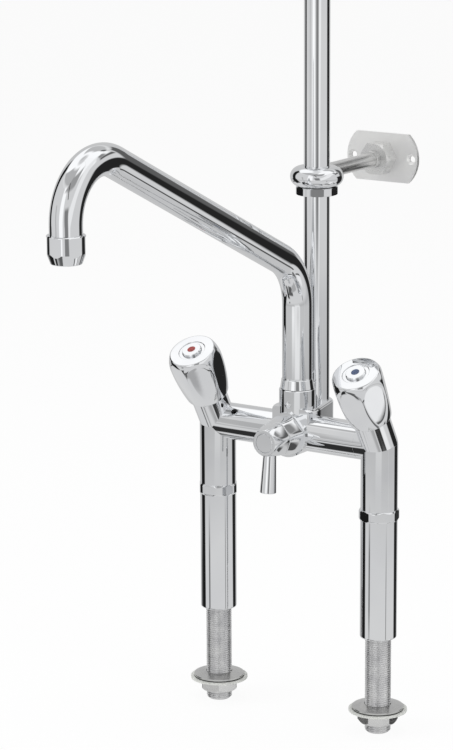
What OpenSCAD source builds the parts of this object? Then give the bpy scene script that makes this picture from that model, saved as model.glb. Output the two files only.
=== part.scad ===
// Two-hole bridge kitchen faucet with tapered six-sided handles, a swinging spout,
// a diverter with a lever, and a riser pipe held to the wall by a bracket.
// The origin lies on the deck, midway between the two inlets. +Y points to the wall.

/* [Inlets] */
// Distance between the two inlet shanks
inlet_spacing = 153; // [140:1:220]
// Outside diameter of the legs, arms and necks
tube_d = 29.5; // [28.5:0.1:33]
// Height of the arms' axis above the deck
axis_height = 158.9; // [150:0.1:200]
// Height of each shroud
shroud_height = 79.5; // [60:0.1:86]
// Wall of the shroud
shroud_wall = 2.5; // [1.5:0.1:3.4]
// Rounding at the foot of the shroud
foot_round = 1.6; // [0.6:0.1:2.2]
// Height of the lip inside the shroud's foot
foot_lip = 3; // [2:0.1:8]
// Height of the short sleeve above the shroud
sleeve_height = 17.8; // [16:0.1:24]
// Height of the union nut
union_height = 8.7; // [8:0.1:12]
// Diameter of the union nut over its round strips
union_d = 32.2; // [31:0.1:38]
// Distance across the flats of the union nut
union_flats = 30.2; // [29.8:0.1:36]
// Turn of the left union nut
left_union_turn = -26; // [-60:1:60]
// Turn of the right union nut
right_union_turn = 42; // [-60:1:60]

/* [Shanks below the deck] */
// Diameter of the threaded shank
shank_d = 20.955; // [18:0.005:24]
// Length of the shank below the deck
shank_drop = 79; // [60:1:120]
// Waterway in the shank
shank_bore_d = 13; // [8:0.5:15]
// Chamfer at the shank's lower end
shank_chamfer = 1.8; // [0.5:0.1:2.5]
// Depth of the washer stack's top below the deck
stack_top = 55.8; // [10:0.1:62]
// Outside diameter of the dished washer
dish_d = 41.4; // [34:0.1:60]
// Fall of the dished washer from its hole to its rim
dish_fall = 2; // [0:0.1:4]
// Thickness of the dished washer
dish_thick = 1.3; // [0.8:0.1:3]
// Thickness of the rubber washer
gasket_thick = 0.9; // [0.6:0.1:4]
// Outside diameter of the backing washer
backing_d = 47; // [36:0.1:60]
// Thickness of the backing washer
backing_thick = 1.5; // [0.8:0.1:3]
// Height of the hexagon backnut
backnut_height = 9.6; // [6:0.1:14]
// Distance across the flats of the backnut
backnut_flats = 28.5; // [27:0.5:36]
// Turn of the left backnut
left_backnut_turn = 4; // [-30:1:30]
// Turn of the right backnut
right_backnut_turn = 34; // [-30:1:60]

/* [Valve bodies] */
// Forward lean of the handles
handle_tilt = 30; // [15:1:40]
// Length of the neck from the arms' axis
neck_length = 27.2; // [24:0.1:34]
// Length of the side outlet from the leg's axis
side_outlet = 16; // [15.5:0.1:20]
// Diameter of the spigot that enters the arm
spigot_d = 22.3; // [18:0.1:23]
// Length of that spigot
spigot_length = 14.5; // [14:0.1:20]
// Depth of the valve seat below the arms' axis
seat_depth = 9; // [8.6:0.1:9.4]
// Diameter of the valve chamber
chamber_d = 19.2; // [18.8:0.1:20]
// Diameter of the passage in the seat
seat_port_d = 10; // [8:0.1:10.4]
// Diameter of the lower inlet passage
lower_bore_d = 18; // [12:0.5:20]
// Height of the wide part of the inlet passage
lower_bore_rise = 22; // [10:1:26]
// Diameter of the waterway in the arms
waterway_d = 11; // [8:0.5:12]

/* [Set screws] */
// Diameter of the set screw hole
set_screw_d = 5.3; // [4:0.1:5.4]
// Distance of the set screw from the arm's end
set_screw_inset = 6.4; // [5:0.1:8]
// Angle of the set screw, forward from straight up
set_screw_angle = 41.7; // [0:0.1:80]
// Length of the set screw
set_screw_length = 2.4; // [1.5:0.1:3]
// Size across the flats of its socket
set_socket = 2.5; // [1.5:0.1:3]

/* [Handles] */
// Distance of the handle's face from the arms' axis
face_height = 73.6; // [72:0.1:95]
// Gap between the neck and the handle
handle_gap = 0.5; // [0.3:0.1:1.5]
// Radius of the handle at its lower end
handle_low_r = 17; // [16.6:0.1:18]
// Largest radius of the handle
handle_high_r = 21.6; // [21:0.1:26]
// Height of the largest radius below the face
shoulder_drop = 12; // [8:0.1:20]
// Radius of the face
face_r = 18.5; // [17:0.1:19.5]
// Distance of a flat from the axis at its lower end
flat_low_r = 17.1; // [16.6:0.1:17.4]
// Distance of a flat from the axis at the shoulder
flat_high_r = 19.4; // [18.9:0.1:20.4]
// Turn of the left handle's flats
left_flat_turn = -20; // [-30:1:30]
// Turn of the right handle's flats
right_flat_turn = 3; // [-30:1:30]
// Radius of the shallow recess in the face
face_recess_r = 11; // [9.5:0.1:14]
// Depth of the shallow recess in the face
face_recess = 0.6; // [0.2:0.1:1.5]
// Radius of the cap
cap_r = 7.9; // [6:0.1:9]
// Thickness of the cap
cap_thick = 3.4; // [2.5:0.1:4.5]
// Height of the cap above the face
cap_rise = 1.4; // [0.4:0.1:2]
// Radius of the coloured dot
dot_r = 3.3; // [2:0.1:4.5]
// Depth of the coloured dot
dot_depth = 1; // [0.5:0.1:1.8]

/* [Headworks] */
// Diameter of the thread in the neck
headwork_d = 20.8; // [19.6:0.1:22]
// Length of that thread
headwork_thread = 10.2; // [6:0.1:12]
// Diameter of the collar on the neck's end
collar_d = 25.2; // [23:0.1:26.4]
// Height of that collar
collar_height = 3.4; // [2:0.1:5]
// Length of the guide above the collar
guide_length = 13; // [8:0.1:15]
// Diameter of the guide
guide_d = 15; // [13:0.1:18]
// Diameter of the spindle
spindle_d = 10; // [8:0.1:11]
// Diameter of the splined end of the spindle
spline_d = 8; // [6:0.1:9]
// Length of the splined end
spline_length = 15; // [10:0.1:18]
// Diameter of the ceramic discs
disc_d = 14.7; // [12:0.1:15]
// Thickness of a ceramic disc
disc_thick = 2.8; // [2:0.1:3.2]
// Height of the spindle's driving head
driver_height = 4; // [3:0.1:5]
// Height of the seat seal
seat_seal_height = 2.5; // [1.5:0.1:3]

/* [Bridge body] */
// Radius of the shoulder round the spout
shoulder_r = 20; // [18.4:0.1:24]
// Radius of the shoulder round the riser
riser_boss_r = 13.6; // [12.6:0.1:15]
// Height of the shoulder's top above the arms' axis
shoulder_rise = 21.1; // [19:0.1:26]
// Depth of the shoulder's underside below the arms' axis
shoulder_depth = 8.9; // [6:0.1:14]
// Rounding of the shoulder's edges
shoulder_round = 2.8; // [1:0.1:4]
// Distance of the shoulder's flat front from the spout's axis
shoulder_front = 11.5; // [10:0.1:14]
// Radius of the spout boss
boss_r = 14.5; // [13.8:0.1:17]
// Height of the spout boss above the arms' axis
boss_rise = 35.5; // [33:0.1:50]
// Radius of the bore that carries the spout
spout_bore_r = 12; // [11:0.1:12.4]
// Height of that bore's floor above the arms' axis
spout_floor = 13.6; // [13.2:0.1:16]
// Distance of the riser behind the spout
riser_offset = 28.9; // [27.5:0.1:40]

/* [Diverter] */
// Radius of the diverter housing
housing_r = 18; // [16.5:0.1:20]
// Distance of the housing's front from the spout's axis
housing_front = 16.5; // [15.5:0.1:22]
// Distance of the housing's back from the spout's axis
housing_back = 14; // [13.5:0.1:16]
// Rounding of the housing's back edge
housing_round = 3; // [1:0.1:5]
// Radius of the plug's chamber
plug_bore_r = 10; // [9:0.1:10.4]
// Distance of the chamber's back from the spout's axis
plug_back = 12; // [11.4:0.1:12.6]
// Thickness of the plug's valve disc
plug_disc = 6.1; // [5:0.1:6.4]
// Radius of the bonnet's thread in the housing
bonnet_thread_r = 12; // [11:0.1:12.6]
// Length of the bonnet's thread
bonnet_thread = 6.5; // [5:0.1:9]
// Length of the bonnet in front of the housing
bonnet_length = 15.5; // [10:0.1:24]
// Radius of the bonnet at the housing
bonnet_back_r = 17.2; // [16:0.1:18]
// Radius of the bonnet at its front
bonnet_front_r = 14.2; // [14:0.1:16]
// Distance of the bonnet's flats from its axis at the housing
bonnet_flat_back_r = 15.7; // [15:0.1:16.6]
// Distance of the bonnet's flats from its axis at its front
bonnet_flat_front_r = 13; // [12.4:0.1:13.6]
// Turn of the bonnet's flats
bonnet_turn = 10; // [-30:1:30]
// Radius of the diverter's spindle
stem_r = 4.5; // [3.5:0.1:5.5]
// Length of the diverter knob
knob_length = 16.6; // [14:0.1:22]
// Radius of the diverter knob at its back
knob_back_r = 14.2; // [13:0.1:15]
// Radius of the diverter knob's face
knob_face_r = 10.3; // [9.6:0.1:12]
// Distance of the diverter knob's flats from its axis at its back
knob_flat_back_r = 13; // [12.4:0.1:13.6]
// Distance of the diverter knob's flats from its axis at its face
knob_flat_face_r = 10.6; // [10.4:0.1:11.4]
// Radius of the diverter knob's cap
knob_cap_r = 7.75; // [6:0.05:8.6]
// Distance of the lever behind the knob's face
lever_setback = 9.3; // [8:0.1:11]
// Forward lean of the lever
lever_lean = 5; // [0:0.5:10]
// Distance of the lever's end from the knob's axis
lever_reach = 41.6; // [30:0.1:60]
// Diameter of the lever at the knob
lever_top_d = 10.3; // [8:0.1:11]
// Diameter of the lever at its end
lever_end_d = 13; // [9:0.1:15]

/* [Spout] */
// Radius of the spout's tube
spout_r = 12.07; // [10:0.01:12.3]
// Wall of the spout's tube
spout_wall = 1.2; // [0.8:0.1:2]
// Height of the spout's upright part above the boss
spout_upright = 67.9; // [20:0.1:150]
// Centreline radius of the lower bend
elbow_r = 45.8; // [30:0.1:80]
// Turn of the lower bend from upright
elbow_angle = 64.4; // [30:0.1:85]
// Length of the rising run
run_length = 242.8; // [60:0.1:400]
// Centreline radius of the upper bend
crook_r = 41.1; // [26:0.1:80]
// Straight length below the upper bend
drop_length = 14; // [10:0.1:60]
// Height of the conical collar on the boss
swivel_height = 7.8; // [5:0.1:14]
// Radius of the conical collar at the boss
swivel_low_r = 13.7; // [13.2:0.1:14.5]
// Radius of the conical collar at its top
swivel_high_r = 12.65; // [12.5:0.05:13]
// Gap between the boss and the collar
swivel_gap = 0.15; // [0.1:0.05:0.6]
// Length of the spout's tail in the boss
tail_length = 21; // [19:0.1:22]
// Distance of the locking screw below the boss's top
lock_drop = 11.4; // [9:0.1:12]
// Diameter of the locking screw's head
lock_head_d = 5.5; // [4:0.1:6.5]
// Diameter of the locking screw's tip
lock_tip_d = 3.6; // [2.5:0.1:4]

/* [Nozzle] */
// Radius of the nozzle
nozzle_r = 14.15; // [13.6:0.05:17]
// Distance of the nozzle's flats from its axis
nozzle_flat_r = 13.45; // [13:0.05:16]
// Radius of the nozzle's mouth
nozzle_mouth_r = 11.45; // [11:0.05:13]
// Height of the nozzle
nozzle_height = 20.7; // [18:0.1:30]
// Height of the nozzle's conical end
nozzle_cone = 7.8; // [5:0.1:10]
// Turn of the nozzle's flats
nozzle_turn = 3.7; // [-30:0.1:30]
// Depth of the tube's socket in the nozzle
nozzle_socket = 7.3; // [6:0.1:9]
// Radius of the aerator
aerator_r = 9.4; // [8:0.1:9.8]
// Height of the aerator
aerator_height = 9; // [7:0.1:9.5]

/* [Riser and bracket] */
// Radius of the riser pipe
riser_r = 10.4; // [9.5:0.1:10.8]
// Wall of the riser pipe
riser_wall = 1.4; // [1:0.1:2.5]
// Height of the riser's top above the deck
riser_top = 520; // [440:1:900]
// Length of the thread at the riser's top
riser_thread = 14; // [8:1:20]
// Depth of the riser's socket in the bridge body
riser_socket = 16; // [10:0.1:17]
// Height of the clamp ring's middle above the deck
ring_height = 361.1; // [250:0.1:420]
// Largest radius of the clamp ring
ring_r = 21.3; // [19.5:0.1:25]
// Radius of the clamp ring's rounded edge
ring_round = 8; // [6:0.1:8.5]
// Radius of the clamp nut
clamp_r = 16.7; // [15.5:0.1:19]
// Distance of the clamp nut's flats from its axis
clamp_flat_r = 15.9; // [15:0.1:18]
// Height of the clamp nut
clamp_height = 6.4; // [5:0.1:10]
// Turn of the clamp nut's flats
clamp_turn = 3.7; // [-30:0.1:30]
// Height of the rod's axis above the ring's middle
rod_rise = 2; // [0:0.1:2.5]
// Diameter of the rod
rod_d = 12; // [8:0.1:13]
// Distance of the wall from the spout's axis
wall_distance = 133; // [100:1:250]
// Thickness of the wall plate
plate_thick = 3; // [2:0.1:6]
// Width of the wall plate
plate_w = 66.7; // [60:0.1:90]
// Height of the wall plate
plate_h = 40.1; // [36:0.1:52]
// Radius of the wall plate's round ends
plate_end_r = 27.1; // [24:0.1:30]
// Distance between the wall plate's screw holes
plate_hole_spacing = 55.3; // [50:0.1:56]
// Diameter of the wall plate's screw holes
plate_hole_d = 5; // [4:0.1:5.4]
// Diameter of the countersinks
plate_sink_d = 8.8; // [7:0.1:9.4]
// Distance across the flats of the wall nut
wall_nut_flats = 25; // [22:0.1:28]
// Height of the wall nut
wall_nut_height = 14; // [10:0.1:20]
// Diameter of the sleeve in the wall nut
wall_sleeve_d = 14.4; // [14:0.1:16]
// Length of the sleeve
wall_sleeve_length = 22; // [16:0.1:40]

/* [Hidden] */
// Clearance on the radius of a thread or a fixed fit
fit = 0.05;
// Clearance on the radius of a running fit
run_fit = 0.06;
// Clear air between inner pieces
air = 0.3;
// Overrun of every cut
cut = 1;
// Small edge chamfer
edge = 0.5;
// Thickness of the section of an O-ring
ring_section = 1.9;
// Room for an O-ring along its groove
groove_room = 0.3;
// Squeeze left out of an O-ring's section
ring_ease = 0.02;
// Step between the faces of the casting that run into one another
cast_step = 0.05;
// Depth of a set screw's seat in the spigot
set_screw_bite = 0.6;
// Height of the inlet shank above the shroud
shank_rise = 8.7;
// Depth of the inlet shank's socket in the sleeve
shank_socket = 10.5;
// Thickness of the strainer
strainer_thick = 1.4;
// Radius of each ring of the strainer's holes, counted in quarters of the bore
strainer_share = 0.85;
// Shoulder of the union nut that rests on the sleeve's flange
neck_step = 2.3;
// Thickness of the sleeve's flange
flange_thick = 1.7;
// Step from the leg's outside to the flange's
flange_step = 2.4;
// Step from the flange to the sleeve's neck
neck_inset = 0.9;
// Step from the flange to the valve body's thread
tail_step = 0.15;
// Radius of the way through the union's seal
seal_bore_r = 9.2;
// Length of the valve body's thread in the union nut
tail_thread = 3;
// Drop of the leaning port's foot below the seat, counted in port diameters
port_drop_share = 1.3;
// Diameter of the leaning port as a share of the seat's passage
port_share = 0.9;
// Distance of the spigot's O-ring from its end
o_ring_setback = 4;
// Wall round the headwork's cavity
waist_wall = 0.95;
// Thickness of the headwork's floor under the discs
foot_floor = 2.5;
// Width of the headwork's windows as a share of the disc
window_share = 0.55;
// Angle of the half-round way in each ceramic disc
disc_hole_angle = 120;
// Depth of a screw's thread as a share of the spline or knob that it holds
screw_share = 0.6;
// Radius of a spindle's end in the plug as a share of the spindle
stem_end_share = 0.7;
// Radius of a screw's six-sided socket as a share of its shank
socket_share = 0.8;
// Height of the spindle's screw above the splines
hub_rise = 1.2;
// Radius of the screws in the handles and the diverter knob
screw_r = 2;
// Radius of their heads
screw_head_r = 3.9;
// Height of a handle screw's head
screw_head = 2.6;
// Turn that puts the seam of a turned blank in the middle of a flat
seam_turn = 30;
// Wall round the hollow under the handle
handle_wall = 3.3;
// Radius and place of the port to the riser, as shares of the plug's chamber
riser_port_share = 0.26;
riser_place_share = 0.7;
// Depth of the riser's chamber below the arms' axis, counted in port radii
chamber_share = 1.5;
// Radius of the port to the spout as a share of the plug's disc
spout_port_share = 0.5;
// Thickness of the riser's seal
seal_thick = 1.5;
// Distance of the diverter spindle's end behind the knob's face
stem_setback = 5.2;
// Height of the diverter knob's screw head
knob_screw_head = 2;
// Thickness of the diverter knob's cap
knob_cap_thick = 2.2;
// Diameter of the lever's tenon
lever_tenon_d = 6;
// Depth of the lever's seat under the knob's back flats
lever_bite = 2.7;
// Gap between the spout's tube and the boss
tube_gap = 1;
// Width of the weld between two lengths of the spout
weld_w = 1.2;
// Height of that weld over the tube
weld_proud = 0.06;
// Wall of the spout's tail
tail_wall = 3.4;
// Length of the tail in the tube
tail_plug = 9;
// Places of the tail's O-rings from its ends, counted in ring sections
low_ring_share = 1.6;
high_ring_share = 1.8;
// Depth of the locking screw's groove in the tail
lock_bite = 1.2;
// Height of the locking screw's head
lock_head = 1.6;
// Depth of the head's sphere and radius of its socket, as shares of the head's radius
dome_share = 0.8;
lock_socket_share = 0.36;
// Height of the aerator's rim inside the nozzle's mouth
aerator_low = 1;
// Room left over the aerator's washer
washer_room = 1.4;
// Radius of the washer's hole as a share of the aerator
washer_share = 0.7;
// Wall of the aerator and spacing of its holes, counted in hole radii
aerator_wall_share = 1.5;
aerator_hole_share = 3;
// Step from the clamp nut's flats to the ring's spigot
spigot_step = 2.4;
// Floor of the clamp nut under that spigot
clamp_floor = 1.8;
// Step from the spigot to the split cone's low end
cone_step = 0.9;
// Wall of the split cone's high end
cone_wall = 0.9;
// Height of the split cone above the spigot
cone_rise = 2;
// Depth of the rod's seat in the ring as a share of the ring's rounding
rod_share = 0.6;
// Length of the rod in the sleeve as a share of the sleeve
rod_sleeve_share = 0.7;
$fn = 96;

leg_x = inlet_spacing / 2;
tube_r = tube_d / 2;
sleeve_top = shroud_height + sleeve_height;
union_top = sleeve_top + union_height;
spigot_r = spigot_d / 2;
arm_end = leg_x - side_outlet;
arm_bore_r = spigot_r + fit;
shank_r = shank_d / 2;
boss_top = axis_height + boss_rise;
shoulder_top = axis_height + shoulder_rise;
steel = [0.80, 0.81, 0.83];
chrome = [0.86, 0.87, 0.89];
brass = [0.78, 0.64, 0.36];
rubber = [0.08, 0.08, 0.08];
ceramic = [0.93, 0.93, 0.90];
pale = [0.88, 0.90, 0.86];

// Places

module at_leg(side) {
    translate([side * leg_x, 0, 0]) children();
}

// z runs along the handle's axis, from the arms' axis outwards
module at_handle(side, turn = 0) {
    at_leg(side) translate([0, 0, axis_height])
        rotate([handle_tilt, 0, 0]) rotate([0, 0, turn]) children();
}

// z runs from the leg's axis towards the middle of the bridge
module along_arm(side) {
    at_leg(side) translate([0, 0, axis_height]) rotate([0, -90 * side, 0]) children();
}

// z runs from the spout's axis to the user
module at_diverter(turn = 0) {
    translate([0, 0, axis_height]) rotate([90, 0, 0]) rotate([0, 0, turn]) children();
}

module at_riser() {
    translate([0, riser_offset, 0]) children();
}

module both_sides() {
    for (side = [-1, 1]) at_leg(side) children();
}

// Shapes that repeat

module ring(r_out, r_in, h) {
    difference() {
        cylinder(r = r_out, h = h);
        translate([0, 0, -cut]) cylinder(r = r_in, h = h + 2 * cut);
    }
}

module bar(r_low, r_high, h, c) {
    rotate_extrude() polygon([
        [0, 0], [r_low - c, 0], [r_low, c],
        [r_high, h - c], [r_high - c, h], [0, h]
    ]);
}

module six_sided(flat_r, h) {
    cylinder(r = flat_r / cos(30), h = h, $fn = 6);
}

// Round or tapered bar with six flats
module flatted_bar(r_low, r_high, flat_r, h, c) {
    intersection() {
        bar(r_low, r_high, h, c);
        rotate([0, 0, 30]) six_sided(flat_r, h);
    }
}

module o_ring(outer_r) {
    rotate_extrude() translate([outer_r - ring_section / 2, 0])
        circle(d = ring_section - ring_ease, $fn = 32);
}

module groove(outer_r) {
    w = ring_section + groove_room;
    translate([0, 0, -w / 2]) ring(outer_r + cut, outer_r - ring_section, w);
}

// Inlets

module shroud(side) {
    color(chrome) at_leg(side) difference() {
        rotate_extrude() union() {
            translate([0, foot_round]) square([tube_r, shroud_height - foot_round]);
            square([tube_r - foot_round, shroud_height]);
            translate([tube_r - foot_round, foot_round]) circle(r = foot_round);
        }
        translate([0, 0, -cut]) cylinder(r = shank_r + air, h = shroud_height + 2 * cut);
        translate([0, 0, foot_lip])
            cylinder(r = tube_r - shroud_wall, h = shroud_height);
    }
}

shank_top = shroud_height + shank_rise;
flange_z = sleeve_top + neck_step + fit;
flange_r = tube_r - flange_step;
neck_r = flange_r - neck_inset;
tail_r = flange_r + tail_step;
union_seal_z = flange_z + flange_thick;
union_seal_thick = union_top - tail_thread - union_seal_z;

module inlet_sleeve(side) {
    color(chrome) at_leg(side) difference() {
        union() {
            translate([0, 0, shroud_height]) cylinder(r = tube_r, h = sleeve_height);
            translate([0, 0, shroud_height])
                cylinder(r = neck_r, h = union_seal_z - shroud_height);
            translate([0, 0, flange_z]) cylinder(r = flange_r, h = flange_thick);
        }
        translate([0, 0, shroud_height - cut])
            cylinder(r = shank_r + fit, h = shank_socket + cut);
        translate([0, 0, shroud_height])
            cylinder(r = seal_bore_r, h = union_seal_z - shroud_height + cut);
    }
}

module union_nut(side, turn) {
    color(chrome) at_leg(side) translate([0, 0, sleeve_top]) rotate([0, 0, turn])
        difference() {
            flatted_bar(union_d / 2, union_d / 2, union_flats / 2, union_height, edge);
            translate([0, 0, -cut]) cylinder(r = neck_r + fit, h = union_height + 2 * cut);
            translate([0, 0, neck_step]) cylinder(r = tail_r + fit, h = union_height);
        }
}

module inlet_shank(side) {
    color(steel) at_leg(side) translate([0, 0, -shank_drop]) difference() {
        bar(shank_r, shank_r, shank_drop + shank_top, shank_chamfer);
        translate([0, 0, -cut])
            cylinder(d = shank_bore_d, h = shank_drop + shank_top + 2 * cut);
    }
}

gasket_z = -stack_top - dish_fall - dish_thick - gasket_thick;
backing_z = gasket_z - backing_thick;
backnut_z = backing_z - backnut_height;

module dished_washers() {
    hole = shank_r + air;
    color(steel) both_sides() translate([0, 0, -stack_top])
        rotate_extrude() polygon([
            [hole, 0], [dish_d / 2, -dish_fall],
            [dish_d / 2, -dish_fall - dish_thick], [hole, -dish_thick]
        ]);
}

module rubber_gaskets() {
    color(rubber) both_sides() translate([0, 0, gasket_z])
        ring(dish_d / 2, shank_r + air, gasket_thick);
}

module backing_washers() {
    color(pale) both_sides() translate([0, 0, backing_z])
        ring(backing_d / 2, shank_r + air, backing_thick);
}

module backnut(turn) {
    corner = backnut_flats / 2 / cos(30);
    bevel = backnut_height / 4;
    translate([0, 0, backnut_z]) rotate([0, 0, turn]) difference() {
        intersection() {
            six_sided(backnut_flats / 2, backnut_height);
            rotate_extrude() polygon([
                [0, 0], [corner - bevel, 0], [corner - edge / 2, bevel],
                [corner - edge / 2, backnut_height], [0, backnut_height]
            ]);
        }
        translate([0, 0, -cut]) cylinder(r = shank_r + fit, h = backnut_height + 2 * cut);
    }
}

module backnuts() {
    color(steel) {
        at_leg(-1) backnut(left_backnut_turn);
        at_leg(1) backnut(right_backnut_turn);
    }
}

module union_seals() {
    color(rubber) both_sides() translate([0, 0, union_seal_z])
        ring(flange_r, seal_bore_r, union_seal_thick);
}

module inlet_strainers() {
    hole_r = shank_bore_d / 16;
    step = shank_bore_d / 4;
    color(steel) both_sides() translate([0, 0, shank_top]) difference() {
        cylinder(r = shank_r, h = strainer_thick);
        translate([0, 0, -cut]) cylinder(r = hole_r, h = strainer_thick + 2 * cut);
        for (ring_no = [1, 2]) for (i = [0 : 6 * ring_no - 1])
            rotate([0, 0, 60 * i / ring_no]) translate([step * ring_no * strainer_share, 0, -cut])
                cylinder(r = hole_r, h = strainer_thick + 2 * cut);
    }
}

// Valve bodies

chamber_r = chamber_d / 2;
thread_bore_r = headwork_d / 2 + fit;
seat_y = seat_depth * sin(handle_tilt);
seat_z = axis_height - seat_depth * cos(handle_tilt);
port_z = seat_z - port_drop_share * seat_port_d;
port_lean = atan2(seat_y, seat_z - port_z);
side_open = side_outlet + spigot_length;
o_ring_place = side_open - o_ring_setback;

module valve_body(side) {
    color(chrome) difference() {
        union() {
            at_leg(side) translate([0, 0, union_top])
                cylinder(r = tube_r, h = axis_height - union_top);
            at_leg(side) translate([0, 0, union_top - tail_thread])
                cylinder(r = tail_r, h = axis_height - union_top);
            at_leg(side) translate([0, 0, axis_height]) sphere(r = tube_r - 3 * cast_step);
            at_handle(side) cylinder(r = tube_r - 2 * cast_step, h = neck_length);
            along_arm(side) cylinder(r = tube_r - cast_step, h = side_outlet);
            along_arm(side) cylinder(r = spigot_r, h = side_open);
        }
        at_leg(side) translate([0, 0, union_top - tail_thread - cut])
            cylinder(d = lower_bore_d, h = lower_bore_rise + cut);
        at_leg(side) translate([0, 0, union_top])
            cylinder(d = seat_port_d, h = port_z - union_top + seat_port_d / 5);
        at_leg(side) translate([0, 0, port_z]) rotate([-port_lean, 0, 0])
            cylinder(d = seat_port_d * port_share, h = norm([seat_y, seat_z - port_z]) + cut);
        at_handle(side) translate([0, 0, -seat_depth])
            cylinder(r = chamber_r, h = seat_depth + neck_length);
        at_handle(side) translate([0, 0, neck_length - headwork_thread])
            cylinder(r = thread_bore_r, h = headwork_thread + cut);
        along_arm(side) cylinder(d = waterway_d, h = side_open + cut);
        along_arm(side) translate([0, 0, o_ring_place]) groove(spigot_r);
        set_screw_place(side) translate([0, 0, spigot_r - set_screw_bite])
            cylinder(d = set_screw_d, h = set_screw_bite + cut);
    }
}

// z runs outwards from the arm's axis through the set screw, which faces the user
// on the left arm and the wall on the right arm
module set_screw_place(side) {
    translate([side * (arm_end - set_screw_inset), 0, axis_height])
        rotate([-side * set_screw_angle, 0, 0]) children();
}

module set_screw() {
    translate([0, 0, spigot_r - set_screw_bite + fit]) difference() {
        cylinder(r = set_screw_d / 2 - fit, h = set_screw_length);
        translate([0, 0, set_screw_length / 3])
            cylinder(r = set_socket / 2 / cos(30), h = set_screw_length, $fn = 6);
    }
}

module arm_set_screws() {
    color(steel) for (side = [-1, 1]) set_screw_place(side) set_screw();
}

module spigot_o_rings() {
    color(rubber) for (side = [-1, 1])
        along_arm(side) translate([0, 0, o_ring_place]) o_ring(spigot_r);
}

// Headworks, along the handle's axis

cavity_r = disc_d / 2 + run_fit + fit;
cavity_low = -seat_depth + seat_seal_height + foot_floor;
fixed_low = cavity_low;
moving_low = fixed_low + disc_thick + run_fit;
driver_low = moving_low + disc_thick + fit;
cavity_high = driver_low + driver_height + air;
guide_top = neck_length + collar_height + guide_length;
spline_low = guide_top + air;
spline_top = spline_low + spline_length;

module headwork(side) {
    waist_r = cavity_r + waist_wall;
    thread_low = neck_length - headwork_thread;
    body_low = -seat_depth + seat_seal_height;
    window = disc_d * window_share;
    color(brass) at_handle(side) difference() {
        union() {
            translate([0, 0, body_low]) cylinder(r = chamber_r - fit, h = foot_floor + disc_thick / 2);
            translate([0, 0, body_low]) cylinder(r = waist_r, h = neck_length - body_low);
            translate([0, 0, thread_low]) cylinder(d = headwork_d, h = headwork_thread);
            translate([0, 0, neck_length]) flatted_bar(collar_d / 2, collar_d / 2,
                collar_d / 2 - edge, collar_height, edge);
            translate([0, 0, neck_length]) cylinder(d = guide_d, h = guide_top - neck_length);
        }
        translate([0, 0, body_low - cut]) cylinder(d = seat_port_d, h = foot_floor + 2 * cut);
        translate([0, 0, cavity_low]) cylinder(r = cavity_r, h = cavity_high - cavity_low);
        translate([0, 0, cavity_low])
            cylinder(r = spindle_d / 2 + run_fit, h = guide_top - cavity_low + cut);
        translate([-waist_r - cut, -window / 2, driver_low])
            cube([2 * (waist_r + cut), window, driver_height]);
    }
}

module seat_seals() {
    color(rubber) for (side = [-1, 1]) at_handle(side) translate([0, 0, -seat_depth])
        ring(chamber_r - fit, seat_port_d / 2 + edge / 2, seat_seal_height);
}

module half_disc_hole(h) {
    rotate_extrude(angle = disc_hole_angle) translate([disc_d / 8, -cut]) square([disc_d / 4, h + 2 * cut]);
}

module fixed_discs() {
    color(ceramic) for (side = [-1, 1]) at_handle(side)
        translate([0, 0, fixed_low]) difference() {
            cylinder(r = disc_d / 2 + run_fit, h = disc_thick);
            rotate([0, 0, 30]) half_disc_hole(disc_thick);
        }
}

module moving_disc(side) {
    color(ceramic) at_handle(side) translate([0, 0, moving_low]) difference() {
        cylinder(r = disc_d / 2, h = disc_thick);
        rotate([0, 0, 210]) half_disc_hole(disc_thick);
    }
}

module spindle(side) {
    color(brass) at_handle(side) difference() {
        union() {
            translate([0, 0, driver_low]) cylinder(d = disc_d, h = driver_height);
            translate([0, 0, driver_low]) cylinder(d = spindle_d, h = spline_low - driver_low);
            translate([0, 0, driver_low]) cylinder(d = spline_d, h = spline_top - driver_low);
        }
        translate([0, 0, spline_top - spline_length * screw_share])
            cylinder(r = screw_r + fit, h = spline_length);
        translate([-spindle_d, -disc_d / 8, driver_low - cut])
            cube([2 * spindle_d, disc_d / 4, driver_height / 2 + cut]);
    }
}

// Handles

handle_low = neck_length + handle_gap;
shoulder_z = face_height - shoulder_drop;
shoulder_arc_r = arc_radius(shoulder_drop, handle_high_r - face_r);
belly_arc_r = arc_radius(shoulder_z - handle_low, handle_high_r - handle_low_r);
flat_run = shoulder_z - handle_low;
flat_lean = atan((flat_high_r - flat_low_r) / flat_run);
hub_low = guide_top + air;
hub_top = spline_top + hub_rise;
cap_top = face_height + cap_rise;
cap_z = cap_top - cap_thick;
head_z = cap_z - air - screw_head;
hollow_r = handle_low_r - handle_wall;

// Radius of an arc that starts upright and falls inwards by fall over the length run
function arc_radius(run, fall) = (run * run + fall * fall) / (2 * fall);

// Solid of the handle before its flats are cut
module handle_blank() {
    lip_r = handle_low_r - edge;
    rotate_extrude() union() {
        intersection() {
            translate([handle_high_r - belly_arc_r, shoulder_z])
                circle(r = belly_arc_r, $fn = 360);
            polygon([
                [0, handle_low], [lip_r, handle_low],
                [lip_r + flat_run, shoulder_z], [0, shoulder_z]
            ]);
        }
        intersection() {
            translate([handle_high_r - shoulder_arc_r, shoulder_z])
                circle(r = shoulder_arc_r, $fn = 180);
            translate([0, shoulder_z]) square([handle_high_r, shoulder_drop]);
        }
    }
}

// Six leaning planes, as the outside of a pyramid's frustum
module leaning_flats(low_r, lean, low, high) {
    reach = 2 * high;
    for (i = [0 : 5]) rotate([0, 0, 60 * i]) translate([0, -low_r, low])
        rotate([lean, 0, 0]) translate([-reach / 2, -reach, -low])
            cube([reach, reach, high + low]);
}

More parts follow.
